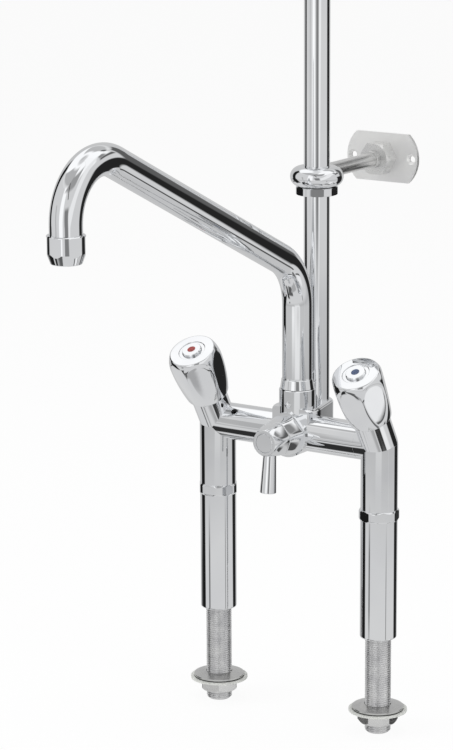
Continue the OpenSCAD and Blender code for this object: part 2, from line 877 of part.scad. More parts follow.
module handle(side, turn) {
    color(chrome) at_handle(side, turn) difference() {
        rotate([0, 0, seam_turn]) handle_blank();
        leaning_flats(flat_low_r, flat_lean, handle_low, face_height);
        translate([0, 0, handle_low - cut]) cylinder(r = hollow_r, h = hub_low - handle_low + cut);
        cylinder(r = spline_d / 2 + fit, h = hub_top);
        translate([0, 0, hub_top - cut]) cylinder(r = screw_r + 2 * fit, h = head_z - hub_top + 2 * cut);
        translate([0, 0, head_z]) cylinder(r = screw_head_r + 2 * fit, h = face_height);
        translate([0, 0, cap_z]) cylinder(r = cap_r + 2 * fit, h = face_height);
        translate([0, 0, face_height - face_recess]) cylinder(r = face_recess_r, h = face_height);
    }
}

module handle_screw(side) {
    shank = head_z - (spline_top - spline_length * screw_share) - air;
    color(steel) at_handle(side) difference() {
        union() {
            translate([0, 0, head_z - shank]) cylinder(r = screw_r, h = shank);
            translate([0, 0, head_z]) bar(screw_head_r, screw_head_r, screw_head, edge);
        }
        translate([0, 0, head_z + screw_head / 2])
            cylinder(r = screw_r * socket_share, h = screw_head, $fn = 6);
    }
}

module handle_cap(side) {
    color(chrome) at_handle(side) translate([0, 0, cap_z]) difference() {
        bar(cap_r, cap_r, cap_thick, edge);
        translate([0, 0, cap_thick - dot_depth]) cylinder(r = dot_r + fit, h = cap_thick);
    }
}

module dot(side) {
    at_handle(side) translate([0, 0, cap_top - dot_depth]) cylinder(r = dot_r, h = dot_depth);
}

module hot_dot() {
    color([0.72, 0.13, 0.10]) dot(-1);
}

module cold_dot() {
    color([0.10, 0.16, 0.36]) dot(1);
}

// Bridge body

// One rounded disc of the shoulder, as high as the shoulder
module shoulder_disc(r) {
    h = shoulder_rise + shoulder_depth;
    rotate_extrude($fn = 72) union() {
        square([r - shoulder_round, h]);
        translate([0, shoulder_round]) square([r, h - 2 * shoulder_round]);
        for (z = [shoulder_round, h - shoulder_round])
            translate([r - shoulder_round, z]) circle(r = shoulder_round, $fn = 24);
    }
}

module shoulder() {
    low = axis_height - shoulder_depth;
    difference() {
        translate([0, 0, low]) hull() {
            shoulder_disc(shoulder_r);
            at_riser() shoulder_disc(riser_boss_r);
        }
        translate([-2 * shoulder_r, -shoulder_front - 2 * shoulder_r, low - cut])
            cube([4 * shoulder_r, 2 * shoulder_r, shoulder_rise + shoulder_depth + 2 * cut]);
    }
}

module housing() {
    at_diverter() rotate_extrude() union() {
        translate([0, housing_round - housing_back])
            square([housing_r, housing_front + housing_back - housing_round]);
        translate([0, -housing_back])
            square([housing_r - housing_round, housing_front + housing_back]);
        translate([housing_r - housing_round, housing_round - housing_back])
            circle(r = housing_round, $fn = 48);
    }
}

lock_z = boss_top - lock_drop;
plug_r = plug_bore_r - run_fit;
land_low = housing_front - bonnet_thread;
disc_back = -plug_back + air;
disc_front = disc_back + plug_disc;
riser_port_r = plug_bore_r * riser_port_share;
riser_port_x = plug_bore_r * riser_place_share;
spout_port_r = plug_disc * spout_port_share;
riser_floor = shoulder_top - riser_socket;
riser_chamber_r = riser_r - riser_wall;
spout_hole_y = (plug_back - air) - plug_disc / 2;

module bridge_body() {
    pocket = spigot_length + air;
    color(chrome) difference() {
        union() {
            translate([-arm_end, 0, axis_height]) rotate([0, 90, 0])
                cylinder(r = tube_r, h = 2 * arm_end);
            shoulder();
            housing();
            translate([0, 0, axis_height]) bar(boss_r, boss_r, boss_rise, edge);
        }
        translate([-arm_end - cut, 0, axis_height]) rotate([0, 90, 0])
            cylinder(r = arm_bore_r, h = pocket + cut);
        translate([arm_end + cut, 0, axis_height]) rotate([0, -90, 0])
            cylinder(r = arm_bore_r, h = pocket + cut);
        translate([-arm_end, 0, axis_height]) rotate([0, 90, 0])
            cylinder(d = waterway_d, h = 2 * arm_end);
        for (side = [-1, 1]) set_screw_place(side)
            translate([0, 0, spigot_r - set_screw_bite]) cylinder(d = set_screw_d, h = tube_r);
        at_diverter() translate([0, 0, -plug_back])
            cylinder(r = plug_bore_r, h = plug_back + housing_front);
        at_diverter() translate([0, 0, land_low])
            cylinder(r = bonnet_thread_r + fit, h = bonnet_thread + cut);
        translate([0, 0, axis_height + spout_floor])
            cylinder(r = spout_bore_r, h = boss_rise);
        translate([0, spout_hole_y, axis_height])
            cylinder(r = spout_port_r, h = spout_floor + cut);
        translate([-riser_port_x, plug_back - cut, axis_height]) rotate([-90, 0, 0])
            cylinder(r = riser_port_r, h = riser_offset - plug_back + cut);
        at_riser() translate([0, 0, axis_height - riser_port_r * chamber_share])
            cylinder(r = riser_chamber_r, h = shoulder_rise);
        at_riser() translate([0, 0, riser_floor]) cylinder(r = riser_r + fit, h = riser_socket + cut);
        translate([0, 0, lock_z]) rotate([90, 0, 0])
            cylinder(r = lock_tip_d / 2 + fit, h = boss_r + cut);
        lock_seat(run_fit);
    }
}

// Diverter

bonnet_front = housing_front + bonnet_length;
knob_low = bonnet_front + air;
knob_face = knob_low + knob_length;
knob_arc_r = arc_radius(knob_length, knob_back_r - knob_face_r);
stem_top = knob_face - stem_setback;
stem_low = land_low - bonnet_thread / 2;
neck_plug_r = plug_bore_r / 2;

module diverter_bonnet() {
    lean = atan((bonnet_flat_front_r - bonnet_flat_back_r) / bonnet_length);
    color(chrome) at_diverter() difference() {
        union() {
            translate([0, 0, housing_front])
                cylinder(r1 = bonnet_back_r, r2 = bonnet_front_r, h = bonnet_length);
            translate([0, 0, land_low + air]) cylinder(r = bonnet_thread_r, h = bonnet_thread);
        }
        rotate([0, 0, bonnet_turn])
            leaning_flats(bonnet_flat_back_r, lean, housing_front, bonnet_front);
        translate([0, 0, land_low]) cylinder(r = stem_r + run_fit, h = bonnet_front);
        translate([0, 0, housing_front]) bonnet_groove();
    }
}

module bonnet_groove() {
    w = ring_section + groove_room;
    cylinder(r = stem_r + run_fit + ring_section, h = w);
}

module diverter_o_ring() {
    color(rubber) at_diverter()
        translate([0, 0, housing_front + (ring_section + groove_room) / 2])
            o_ring(stem_r + run_fit + ring_section - ring_ease);
}

module diverter_plug() {
    slot = 2 * riser_port_r + 2 * air;
    color(brass) at_diverter() difference() {
        union() {
            translate([0, 0, disc_back]) cylinder(r = plug_r, h = plug_disc);
            translate([0, 0, disc_back]) cylinder(r = neck_plug_r, h = land_low - disc_back);
            translate([0, 0, land_low - plug_disc / 2]) cylinder(r = plug_r, h = plug_disc / 2);
        }
        translate([-slot / 2, neck_plug_r - air, disc_back - cut])
            cube([slot, plug_bore_r, plug_disc + 2 * cut]);
        translate([0, 0, stem_low - cut / 2]) cylinder(r = stem_r * stem_end_share + fit, h = plug_bore_r);
    }
}

module diverter_spindle() {
    color(brass) at_diverter() difference() {
        union() {
            translate([0, 0, land_low]) cylinder(r = stem_r, h = stem_top - land_low);
            translate([0, 0, stem_low]) cylinder(r = stem_r * stem_end_share, h = stem_top - stem_low);
        }
        translate([0, 0, stem_top - knob_length / 2]) cylinder(r = screw_r + fit, h = knob_length);
    }
}

module knob_blank() {
    rotate_extrude() intersection() {
        translate([knob_back_r - knob_arc_r, knob_low]) circle(r = knob_arc_r, $fn = 180);
        translate([0, knob_low]) square([knob_back_r, knob_length]);
    }
}

module diverter_knob() {
    lean = atan((knob_flat_face_r - knob_flat_back_r) / knob_length);
    color(chrome) at_diverter() difference() {
        knob_blank();
        rotate([0, 0, bonnet_turn])
            leaning_flats(knob_flat_back_r, lean, knob_low, knob_face);
        translate([0, 0, knob_low - cut])
            cylinder(r = stem_r + fit, h = stem_top + air - knob_low + cut);
        translate([0, 0, knob_low]) cylinder(r = screw_r + fit, h = knob_length);
        translate([0, 0, knob_face - knob_cap_thick - knob_screw_head - air])
            cylinder(r = screw_head_r + fit, h = knob_length);
        translate([0, 0, knob_face - knob_cap_thick])
            cylinder(r = knob_cap_r + fit, h = knob_length);
        lever_place() cylinder(d = lever_tenon_d + 2 * fit, h = lever_seat + cut);
        lever_place() translate([0, 0, lever_seat])
            cylinder(r1 = lever_top_d / 2 + fit, r2 = lever_end_d / 2 + fit,
                h = lever_reach - lever_seat);
    }
}

module diverter_knob_screw() {
    low = stem_top - knob_length / 2 + air;
    head = knob_face - knob_cap_thick - knob_screw_head - air;
    color(steel) at_diverter() difference() {
        union() {
            translate([0, 0, low]) cylinder(r = screw_r, h = head - low);
            translate([0, 0, head]) cylinder(r = screw_head_r, h = knob_screw_head);
        }
        translate([0, 0, head + knob_screw_head / 2])
            cylinder(r = screw_r * socket_share, h = knob_screw_head, $fn = 6);
    }
}

module diverter_knob_cap() {
    color(chrome) at_diverter() translate([0, 0, knob_face - knob_cap_thick])
        bar(knob_cap_r, knob_cap_r, knob_cap_thick, edge);
}

lever_tenon_low = stem_r + fit + air;
lever_seat = knob_flat_back_r - lever_bite;

// z runs down the lever from the knob's axis
module lever_place() {
    translate([0, 0, knob_face - lever_setback]) rotate([90 - lever_lean, 0, 0]) children();
}

module diverter_lever() {
    color(chrome) at_diverter() lever_place() union() {
        translate([0, 0, lever_tenon_low]) cylinder(d = lever_tenon_d, h = lever_seat);
        translate([0, 0, lever_seat])
            bar(lever_top_d / 2, lever_end_d / 2, lever_reach - lever_seat, edge);
    }
}

// Spout

spout_bore = spout_r - spout_wall;
tube_low = boss_top + swivel_gap + tube_gap;
elbow_z = boss_top + spout_upright;
run_y = -elbow_r * (1 - cos(elbow_angle));
run_z = elbow_z + elbow_r * sin(elbow_angle);
crook_y = run_y - run_length * sin(elbow_angle) - crook_r * cos(elbow_angle);
crook_z = run_z + run_length * cos(elbow_angle) - crook_r * sin(elbow_angle);
outlet_y = crook_y - crook_r;
nozzle_top = crook_z - drop_length + nozzle_socket;
nozzle_low = nozzle_top - nozzle_height;

module tube_section() {
    difference() {
        circle(r = spout_r);
        circle(r = spout_bore);
    }
}

// Bend of the tube in the Y-Z plane, from an upright start towards the user
module tube_bend(bend_r, angle) {
    translate([0, -bend_r, 0]) rotate([90, 0, 90])
        rotate_extrude(angle = angle, $fn = 180) translate([bend_r, 0]) tube_section();
}

// Narrow weld that joins two lengths of the tube
module weld() {
    translate([0, 0, -weld_w / 2]) ring(spout_r + weld_proud, spout_bore - weld_proud, weld_w);
}

module spout_tube() {
    color(chrome) union() {
        translate([0, 0, tube_low]) linear_extrude(elbow_z - tube_low) tube_section();
        translate([0, 0, elbow_z]) tube_bend(elbow_r, elbow_angle);
        translate([0, run_y, run_z]) rotate([elbow_angle, 0, 0]) {
            weld();
            linear_extrude(run_length) tube_section();
            translate([0, 0, run_length]) tube_bend(crook_r, 180 - elbow_angle);
        }
        translate([0, outlet_y, crook_z - drop_length]) linear_extrude(drop_length) tube_section();
        translate([0, outlet_y, crook_z]) weld();
    }
}

tail_r_out = spout_bore_r - run_fit;
tail_low = boss_top - tail_length;
tail_bore_r = tail_r_out - tail_wall;
low_ring_z = tail_low + ring_section * low_ring_share;
high_ring_z = boss_top - ring_section * high_ring_share;

module spout_tail() {
    lock_w = lock_tip_d + 2 * air;
    color(brass) difference() {
        union() {
            translate([0, 0, tail_low]) cylinder(r = tail_r_out, h = tube_low - tail_low);
            translate([0, 0, tube_low]) cylinder(r = spout_bore - fit, h = tail_plug);
        }
        translate([0, 0, tail_low - cut]) cylinder(r = tail_bore_r, h = boss_rise + tail_plug);
        translate([0, 0, low_ring_z]) groove(tail_r_out);
        translate([0, 0, high_ring_z]) groove(tail_r_out);
        translate([0, 0, lock_z - lock_w / 2])
            ring(tail_r_out + cut, tail_r_out - lock_bite - air, lock_w);
    }
}

module spout_o_rings() {
    color(rubber) for (z = [low_ring_z, high_ring_z])
        translate([0, 0, z]) o_ring(tail_r_out);
}

module spout_collar() {
    low = boss_top + swivel_gap;
    color(chrome) translate([0, 0, low]) difference() {
        bar(swivel_low_r, swivel_high_r, swivel_height, edge / 2);
        translate([0, 0, -cut]) cylinder(r = spout_r + fit, h = swivel_height + 2 * cut);
    }
}

// Shallow seat of the locking screw's head
module lock_seat(margin) {
    translate([0, -boss_r + lock_head / 2, lock_z]) rotate([90, 0, 0])
        cylinder(r = lock_head_d / 2 + margin, h = boss_r);
}

module spout_lock_screw() {
    tip = tail_r_out - lock_bite;
    dome_r = lock_head_d / 2;
    dome_drop = dome_r * dome_share;
    color(chrome) translate([0, 0, lock_z]) rotate([90, 0, 0]) difference() {
        union() {
            translate([0, 0, tip]) cylinder(d = lock_tip_d, h = boss_r - tip);
            translate([0, 0, boss_r - lock_head / 2]) cylinder(r = dome_r, h = lock_head / 2);
            translate([0, 0, boss_r]) intersection() {
                translate([0, 0, -dome_drop]) sphere(r = norm([dome_r, dome_drop]));
                cylinder(r = dome_r, h = lock_head);
            }
        }
        translate([0, 0, boss_r]) cylinder(r = dome_r * lock_socket_share, h = lock_head, $fn = 6);
    }
}

// Nozzle

module nozzle() {
    barrel = nozzle_height - nozzle_cone;
    color(chrome) translate([0, outlet_y, nozzle_low]) difference() {
        rotate_extrude() polygon([
            [0, 0], [nozzle_mouth_r - edge, 0], [nozzle_mouth_r, edge],
            [nozzle_r, nozzle_cone], [nozzle_r, nozzle_height - edge],
            [nozzle_r - edge, nozzle_height], [0, nozzle_height]
        ]);
        rotate([0, 0, nozzle_turn]) for (i = [0 : 5]) rotate([0, 0, 60 * i + 30])
            translate([nozzle_flat_r, -nozzle_r, -cut])
                cube([nozzle_r, 2 * nozzle_r, nozzle_height - edge * 2 + cut]);
        translate([0, 0, nozzle_height - nozzle_socket])
            cylinder(r = spout_r + fit, h = nozzle_socket + cut);
        translate([0, 0, -cut]) cylinder(r = aerator_r + fit, h = nozzle_height);
    }
}

washer_thick = nozzle_height - nozzle_socket - aerator_low - aerator_height - washer_room;

module aerator_insert() {
    hole_r = aerator_r / 9;
    floor_h = aerator_height / 4;
    color(steel) translate([0, outlet_y, nozzle_low + aerator_low]) difference() {
        cylinder(r = aerator_r, h = aerator_height);
        translate([0, 0, floor_h]) cylinder(r = aerator_r - aerator_wall_share * hole_r, h = aerator_height);
        translate([0, 0, -cut]) cylinder(r = hole_r, h = aerator_height);
        for (ring_no = [1, 2]) for (i = [0 : 6 * ring_no - 1])
            rotate([0, 0, 60 * i / ring_no])
                translate([ring_no * aerator_hole_share * hole_r, 0, -cut])
                    cylinder(r = hole_r, h = aerator_height);
    }
}

module aerator_washer() {
    color(rubber) translate([0, outlet_y, nozzle_low + aerator_low + aerator_height])
        ring(aerator_r, aerator_r * washer_share, washer_thick);
}

// Riser and bracket

module riser_pipe() {
    low = riser_floor + seal_thick;
    color(chrome) at_riser() translate([0, 0, low]) difference() {
        bar(riser_r, riser_r, riser_top - low, edge);
        translate([0, 0, -cut]) cylinder(r = riser_r - riser_wall, h = riser_top);
        for (i = [0 : 1]) translate([0, 0, riser_top - low - riser_thread - i * 2 * edge])
            translate([0, 0, -edge]) ring(riser_r + cut, riser_r - edge / 2, edge);
    }
}

module riser_seal() {
    color(rubber) at_riser() translate([0, 0, riser_floor])
        ring(riser_r, riser_r - riser_wall + fit, seal_thick);
}

ring_low = ring_height - ring_round;
spigot_wall_r = clamp_flat_r - spigot_step;
spigot_drop = clamp_height - clamp_floor;
cone_low_r = spigot_wall_r - cone_step;
cone_high_r = riser_r + cone_wall;
cone_height = spigot_drop + cone_rise;
rod_z = ring_height + rod_rise;
rod_start = riser_offset + riser_r + ring_round * rod_share;

module clamp_ring() {
    round_at = ring_r - ring_round;
    color(chrome) difference() {
        at_riser() union() {
            translate([0, 0, ring_height]) rotate_extrude() union() {
                translate([round_at, 0]) circle(r = ring_round);
                translate([0, -ring_round]) square([round_at, 2 * ring_round]);
            }
            translate([0, 0, ring_low - spigot_drop]) cylinder(r = spigot_wall_r, h = ring_round);
        }
        at_riser() translate([0, 0, ring_low - spigot_drop - cut])
            cylinder(r = riser_r + fit, h = 4 * ring_round);
        at_riser() translate([0, 0, ring_low - spigot_drop])
            cylinder(r1 = cone_low_r + fit, r2 = cone_high_r + fit, h = cone_height);
        translate([0, rod_start, rod_z]) rotate([-90, 0, 0])
            cylinder(r = rod_d / 2 + fit, h = 2 * ring_r);
    }
}

module clamp_nut() {
    color(chrome) at_riser() translate([0, 0, ring_low - clamp_height])
        rotate([0, 0, clamp_turn]) difference() {
            flatted_bar(clamp_r, clamp_r, clamp_flat_r, clamp_height, edge);
            translate([0, 0, -cut]) cylinder(r = riser_r + air, h = clamp_height + 2 * cut);
            translate([0, 0, clamp_height - spigot_drop - fit])
                cylinder(r = spigot_wall_r + fit, h = clamp_height);
        }
}

module split_cone() {
    color(brass) at_riser() translate([0, 0, ring_low - spigot_drop]) difference() {
        cylinder(r1 = cone_low_r, r2 = cone_high_r, h = cone_height);
        translate([0, 0, -cut]) cylinder(r = riser_r + fit, h = cone_height + 2 * cut);
        translate([0, -edge, -cut]) cube([2 * riser_r, 2 * edge, cone_height + 2 * cut]);
    }
}

nut_front = wall_distance - plate_thick - wall_nut_height;
sleeve_start = wall_distance - wall_sleeve_length;
rod_stop = sleeve_start + wall_sleeve_length * rod_sleeve_share;

module wall_rod() {
    color(steel) translate([0, rod_start, rod_z]) rotate([-90, 0, 0])
        cylinder(d = rod_d, h = rod_stop - rod_start);
}

module wall_sleeve() {
    color(steel) translate([0, sleeve_start, rod_z]) rotate([-90, 0, 0]) difference() {
        bar(wall_sleeve_d / 2, wall_sleeve_d / 2, wall_sleeve_length, edge / 2);
        translate([0, 0, -cut]) cylinder(r = rod_d / 2 + fit, h = rod_stop - sleeve_start + cut);
    }
}

module wall_nut() {
    corner = wall_nut_flats / 2 / cos(30);
    bevel = wall_nut_flats / 10;
    color(steel) translate([0, nut_front, rod_z]) rotate([-90, 0, 0]) difference() {
        intersection() {
            six_sided(wall_nut_flats / 2, wall_nut_height);
            rotate_extrude() polygon([
                [0, 0], [wall_nut_flats / 2, 0], [corner, bevel],
                [corner, wall_nut_height], [0, wall_nut_height]
            ]);
        }
        translate([0, 0, -cut])
            cylinder(r = wall_sleeve_d / 2 + fit, h = wall_nut_height + 2 * cut);
    }
}

module plate_outline() {
    centre_x = plate_w / 2 - plate_end_r;
    intersection() {
        square([plate_w, plate_h], center = true);
        union() {
            for (side = [-1, 1]) translate([side * centre_x, 0]) circle(r = plate_end_r, $fn = 180);
            square([2 * centre_x, plate_h], center = true);
        }
    }
}

module wall_plate() {
    sink = (plate_sink_d - plate_hole_d) / 2;
    color(steel) translate([0, wall_distance, rod_z]) rotate([90, 0, 0]) difference() {
        linear_extrude(plate_thick) plate_outline();
        translate([0, 0, -cut])
            cylinder(r = wall_sleeve_d / 2 + fit, h = plate_thick + 2 * cut);
        for (side = [-1, 1]) translate([side * plate_hole_spacing / 2, 0, 0]) {
            translate([0, 0, -cut]) cylinder(d = plate_hole_d, h = plate_thick + 2 * cut);
            translate([0, 0, plate_thick - sink])
                cylinder(d1 = plate_hole_d, d2 = plate_sink_d, h = sink);
        }
    }
}

bridge_body();
valve_body(-1);  // left_valve_body
valve_body(1);  // right_valve_body
union_nut(-1, left_union_turn);  // left_union_nut
union_nut(1, right_union_turn);  // right_union_nut
inlet_sleeve(-1);  // left_inlet_sleeve
inlet_sleeve(1);  // right_inlet_sleeve
shroud(-1);  // left_shroud
shroud(1);  // right_shroud
inlet_shank(-1);  // left_inlet_shank
inlet_shank(1);  // right_inlet_shank
dished_washers();
rubber_gaskets();
backing_washers();
backnuts();
arm_set_screws();
spigot_o_rings();
union_seals();
inlet_strainers();
headwork(-1);  // left_headwork
headwork(1);  // right_headwork
seat_seals();
fixed_discs();
spindle(-1);  // left_spindle
spindle(1);  // right_spindle
moving_disc(-1);  // left_moving_disc
moving_disc(1);  // right_moving_disc
handle(-1, left_flat_turn);  // left_handle
handle(1, right_flat_turn);  // right_handle
handle_screw(-1);  // left_handle_screw
handle_screw(1);  // right_handle_screw
handle_cap(-1);  // left_handle_cap
handle_cap(1);  // right_handle_cap
hot_dot();
cold_dot();
diverter_bonnet();
diverter_o_ring();
diverter_plug();
diverter_spindle();
diverter_knob();
diverter_knob_screw();
diverter_knob_cap();
diverter_lever();
spout_tube();
spout_tail();
spout_o_rings();
spout_collar();
spout_lock_screw();
nozzle();
aerator_insert();
aerator_washer();
riser_pipe();
riser_seal();
clamp_ring();
clamp_nut();
split_cone();
wall_rod();
wall_sleeve();
wall_nut();
wall_plate();
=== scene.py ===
"""Looks of a bridge kitchen faucet with a spray riser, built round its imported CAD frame.

Sizes in the classes are millimetres and degrees, and a mesh is written in metres. The frame is the
CAD model's: +X is the cold side, -Y faces the user, +Z is up, and the origin lies on the deck
midway between the two inlets.
"""

import logging
import math
from collections.abc import Callable
from dataclasses import dataclass
from enum import Enum

import bpy
import numpy as np
from mathutils import Matrix


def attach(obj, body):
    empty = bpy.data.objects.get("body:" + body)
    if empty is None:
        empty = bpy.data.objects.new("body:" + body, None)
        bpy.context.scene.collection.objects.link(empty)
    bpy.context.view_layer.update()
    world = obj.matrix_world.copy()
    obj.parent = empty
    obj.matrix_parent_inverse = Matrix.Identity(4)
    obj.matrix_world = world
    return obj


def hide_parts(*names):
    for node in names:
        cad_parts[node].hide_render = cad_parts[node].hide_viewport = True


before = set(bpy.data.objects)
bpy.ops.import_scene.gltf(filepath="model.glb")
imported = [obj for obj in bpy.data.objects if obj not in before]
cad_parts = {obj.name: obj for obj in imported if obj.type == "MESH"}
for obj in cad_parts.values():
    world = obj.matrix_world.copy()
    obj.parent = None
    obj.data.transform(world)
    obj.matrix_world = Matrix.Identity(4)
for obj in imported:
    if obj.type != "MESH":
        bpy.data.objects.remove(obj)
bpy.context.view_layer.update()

MM = 0.001
INLET_SPACING = 153.0
ARMS_HEIGHT = 158.9
NOISE_MIDDLE = (0.3, 0.7)  # Most of a noise's values lie in here
SLIGHT = 0.01  # A length too small to see
TINY = 1e-6  # Keeps a divisor off 0
Triple = tuple[float, float, float]
Socket = bpy.types.NodeSocket
log = logging.getLogger("faucet")


class Side(Enum):
    """The two inlets, by the sign of their place along X."""

    HOT = -1
    COLD = 1

    @property
    def word(self) -> str:
        """The word that starts the names of this side's nodes."""
        return "left" if self is Side.HOT else "right"

    @property
    def x(self) -> float:
        """The inlet's place along X."""
        return self.value * INLET_SPACING / 2


class Grain(Enum):
    """How the fine marks of a surface run: in clouds, in rings round a leg, or along Y."""

    CLOUDED = "clouded"
    TURNED = "turned"
    DRAWN = "drawn"


# ---------------------------------------------------------------- finishes


class Wiring:
    """A node tree that starts empty, with short calls for the nodes that a finish uses."""

    def __init__(self, owner: bpy.types.Material | bpy.types.World) -> None:
        """Clears the owner's tree.

        Args:
            owner: The material or the world that the nodes belong to.
        """
        owner.use_nodes = True
        self.tree = owner.node_tree
        self.tree.nodes.clear()

    def add(
        self, kind: str, inputs: dict[str | int, object] | None = None, **settings: object
    ) -> bpy.types.NodeOutputs:
        """Adds a node.

        Args:
            kind: The node's type, without the ShaderNode at the start of Blender's names.
            inputs: What its inputs get, by name or number: a socket is joined, a value is set.
            **settings: The node's own properties, by name.

        Returns:
            The node's outputs.
        """
        node = self.tree.nodes.new(f"ShaderNode{kind}")
        for key, value in settings.items():
            setattr(node, key, value)
        for key, given in (inputs or {}).items():
            if isinstance(given, Socket):
                self.tree.links.new(given, node.inputs[key])
            else:
                node.inputs[key].default_value = given
        return node.outputs

    def noise(self, source: Socket, size: float, detail: float) -> Socket:
        """Cloudy noise.

        Args:
            source: The coordinates that it reads.
            size: The size of one cloud, in metres.
            detail: How many finer layers it has.

        Returns:
            The noise, from 0 to 1.
        """
        inputs = {"Vector": source, "Scale": 1.0 / size, "Detail": detail}
        return self.add("TexNoise", inputs)["Fac"]

    def between(self, source: Socket, low: float, high: float) -> Socket:
        """Spreads the middle of a noise over a range.

        Args:
            source: A noise, which mostly lies in its middle.
            low: The result at the middle's lower end.
            high: The result at its upper end.

        Returns:
            The value in its new range.
        """
        least, most = NOISE_MIDDLE
        span = {"From Min": least, "From Max": most, "To Min": low, "To Max": high}
        return self.add("MapRange", {"Value": source, **span})["Result"]


@dataclass(frozen=True)
class Finish:
    """A finish that pieces of the faucet wear, with its sizes in metres.

    Clouds of noise carry the colour from the first to the second. The grain's marks, at their own
    finer size, move the roughness from low to high and give the bump.
    """

    name: str
    slot: str
    first: Triple
    second: Triple
    rough_low: float
    rough_high: float
    metallic: float = 0.0
    grain: Grain = Grain.CLOUDED
    cloud: float = 0.01
    fine: float = 0.001
    depth: float = 0.00002
    strength: float = 0.2
    coat: float = 0.0
    scatter: float = 0.0
    scatter_reach: float = 0.002

    RING_SCALE = 0.3
    DRAWN_SCALE = 0.03

    def material(self) -> bpy.types.Material:
        """The finish as a node material, made once.

        Returns:
            The material.
        """
        made = bpy.data.materials.get(self.name)
        if made is not None:
            return made
        made = bpy.data.materials.new(self.name)
        wiring = Wiring(made)
        place = wiring.add("TexCoord")["Object"]
        marks = self.marks(wiring, place)
        colour = wiring.add(
            "Mix",
            {
                0: wiring.between(wiring.noise(place, self.cloud, 2.0), 0, 1),
                6: (*self.first, 1.0),
                7: (*self.second, 1.0),
            },
            data_type="RGBA",
        )
        bump = wiring.add(
            "Bump", {"Height": marks, "Distance": self.depth, "Strength": self.strength}
        )
        shader = wiring.add(
            "BsdfPrincipled",
            {
                "Base Color": colour[2],
                "Roughness": wiring.between(marks, self.rough_low, self.rough_high),
                "Normal": bump["Normal"],
                "Metallic": self.metallic,
                "Coat Weight": self.coat,
                "Subsurface Weight": self.scatter,
                "Subsurface Radius": (self.scatter_reach,) * 3,
            },
        )
        wiring.add("OutputMaterial", {"Surface": shader["BSDF"]})
        return made

    def marks(self, wiring: Wiring, place: Socket) -> Socket:
        """The fine marks of the surface.

        Turned marks are rings round the inlets' axes: the coordinates are folded at the middle of
        the faucet and centred on one inlet. Drawn marks are noise that is stretched along Y.

        Args:
            wiring: The material's nodes.
            place: The object's coordinates.

        Returns:
            A value from 0 to 1 that varies at the size of the marks.
        """
        if self.grain is Grain.TURNED:
            fold = wiring.add("VectorMath", {0: place}, operation="ABSOLUTE")["Vector"]
            middle = (-INLET_SPACING / 2 * MM, 0, 0)
            centred = wiring.add("Mapping", {"Vector": fold, "Location": middle})["Vector"]
            rings = {
                "Vector": centred, "Scale": self.RING_SCALE / self.fine, "Distortion": 2.0,
                "Detail": 2.0, "Detail Scale": 1.5,
            }
            return wiring.add("TexWave", rings, wave_type="RINGS", rings_direction="Z")["Fac"]
        scale = (1.0, self.DRAWN_SCALE if self.grain is Grain.DRAWN else 1.0, 1.0)
        stretched = wiring.add("Mapping", {"Vector": place, "Scale": scale})["Vector"]
        return wiring.noise(stretched, self.fine, 3.0)


CAST_CHROME = Finish(
    "polished_chrome_casting", "chrome", (0.80, 0.81, 0.83), (0.86, 0.87, 0.88),
    0.015, 0.045, metallic=1.0, cloud=0.03, fine=0.012, depth=0.00004, strength=0.12,
)
TUBE_CHROME = Finish(
    "polished_chrome_tube", "chrome", (0.81, 0.82, 0.84), (0.86, 0.87, 0.88),
    0.012, 0.035, metallic=1.0, cloud=0.05, fine=0.015, strength=0.08,
)
THREAD_STEEL = Finish(
    "plated_thread", "shank_steel", (0.72, 0.72, 0.73), (0.86, 0.86, 0.86),
    0.22, 0.38, metallic=1.0, fine=0.0012, depth=0.00004, strength=0.25,
)
SATIN_STEEL = Finish(
    "satin_rod_steel", "satin_steel", (0.74, 0.74, 0.74), (0.84, 0.84, 0.83),
    0.24, 0.36, metallic=1.0, grain=Grain.DRAWN, cloud=0.02, fine=0.0007,
)
WASHER_STEEL = Finish(
    "turned_washer_steel", "satin_steel", (0.58, 0.58, 0.58), (0.66, 0.66, 0.65),
    0.2, 0.34, metallic=1.0, grain=Grain.TURNED, fine=0.0006,
)
PLATE_STEEL = Finish(
    "brushed_plate_steel", "satin_steel", (0.90, 0.90, 0.90), (0.96, 0.96, 0.95),
    0.3, 0.42, metallic=0.8, cloud=0.02, fine=0.0008,
)
DARK_SCREW = Finish(
    "blackened_screw", "satin_steel", (0.020, 0.020, 0.021), (0.045, 0.045, 0.045),
    0.35, 0.5, metallic=1.0, cloud=0.004, fine=0.0006,
)
BLACK_RUBBER = Finish(
    "moulded_black_rubber", "black_rubber", (0.012, 0.012, 0.013), (0.028, 0.028, 0.028),
    0.5, 0.75, cloud=0.008, fine=0.0006, depth=0.00005, strength=0.4,
)
PALE_PLASTIC = Finish(
    "moulded_pale_plastic", "pale_plastic", (0.70, 0.71, 0.68), (0.78, 0.79, 0.76),
    0.3, 0.45, fine=0.0015, scatter=0.25,
)
TURNED_BRASS = Finish(
    "turned_brass", "brass", (0.72, 0.55, 0.28), (0.80, 0.64, 0.36), 0.15, 0.28, metallic=1.0,
)
WHITE_CERAMIC = Finish(
    "white_ceramic", "ceramic", (0.80, 0.80, 0.77), (0.86, 0.86, 0.84),
    0.12, 0.2, cloud=0.006, depth=0.00001, strength=0.1, coat=0.3,
)
RED_ENAMEL = Finish(
    "fired_red_enamel", "red_enamel", (0.13, 0.010, 0.008), (0.42, 0.040, 0.032),
    0.12, 0.22, cloud=0.0012, depth=0.00001, strength=0.1, coat=0.1,
)
BLUE_ENAMEL = Finish(
    "fired_blue_enamel", "blue_enamel", (0.015, 0.028, 0.075), (0.050, 0.090, 0.20),
    0.12, 0.22, cloud=0.0012, depth=0.00001, strength=0.1, coat=0.1,
)


# ---------------------------------------------------------------- surfaces


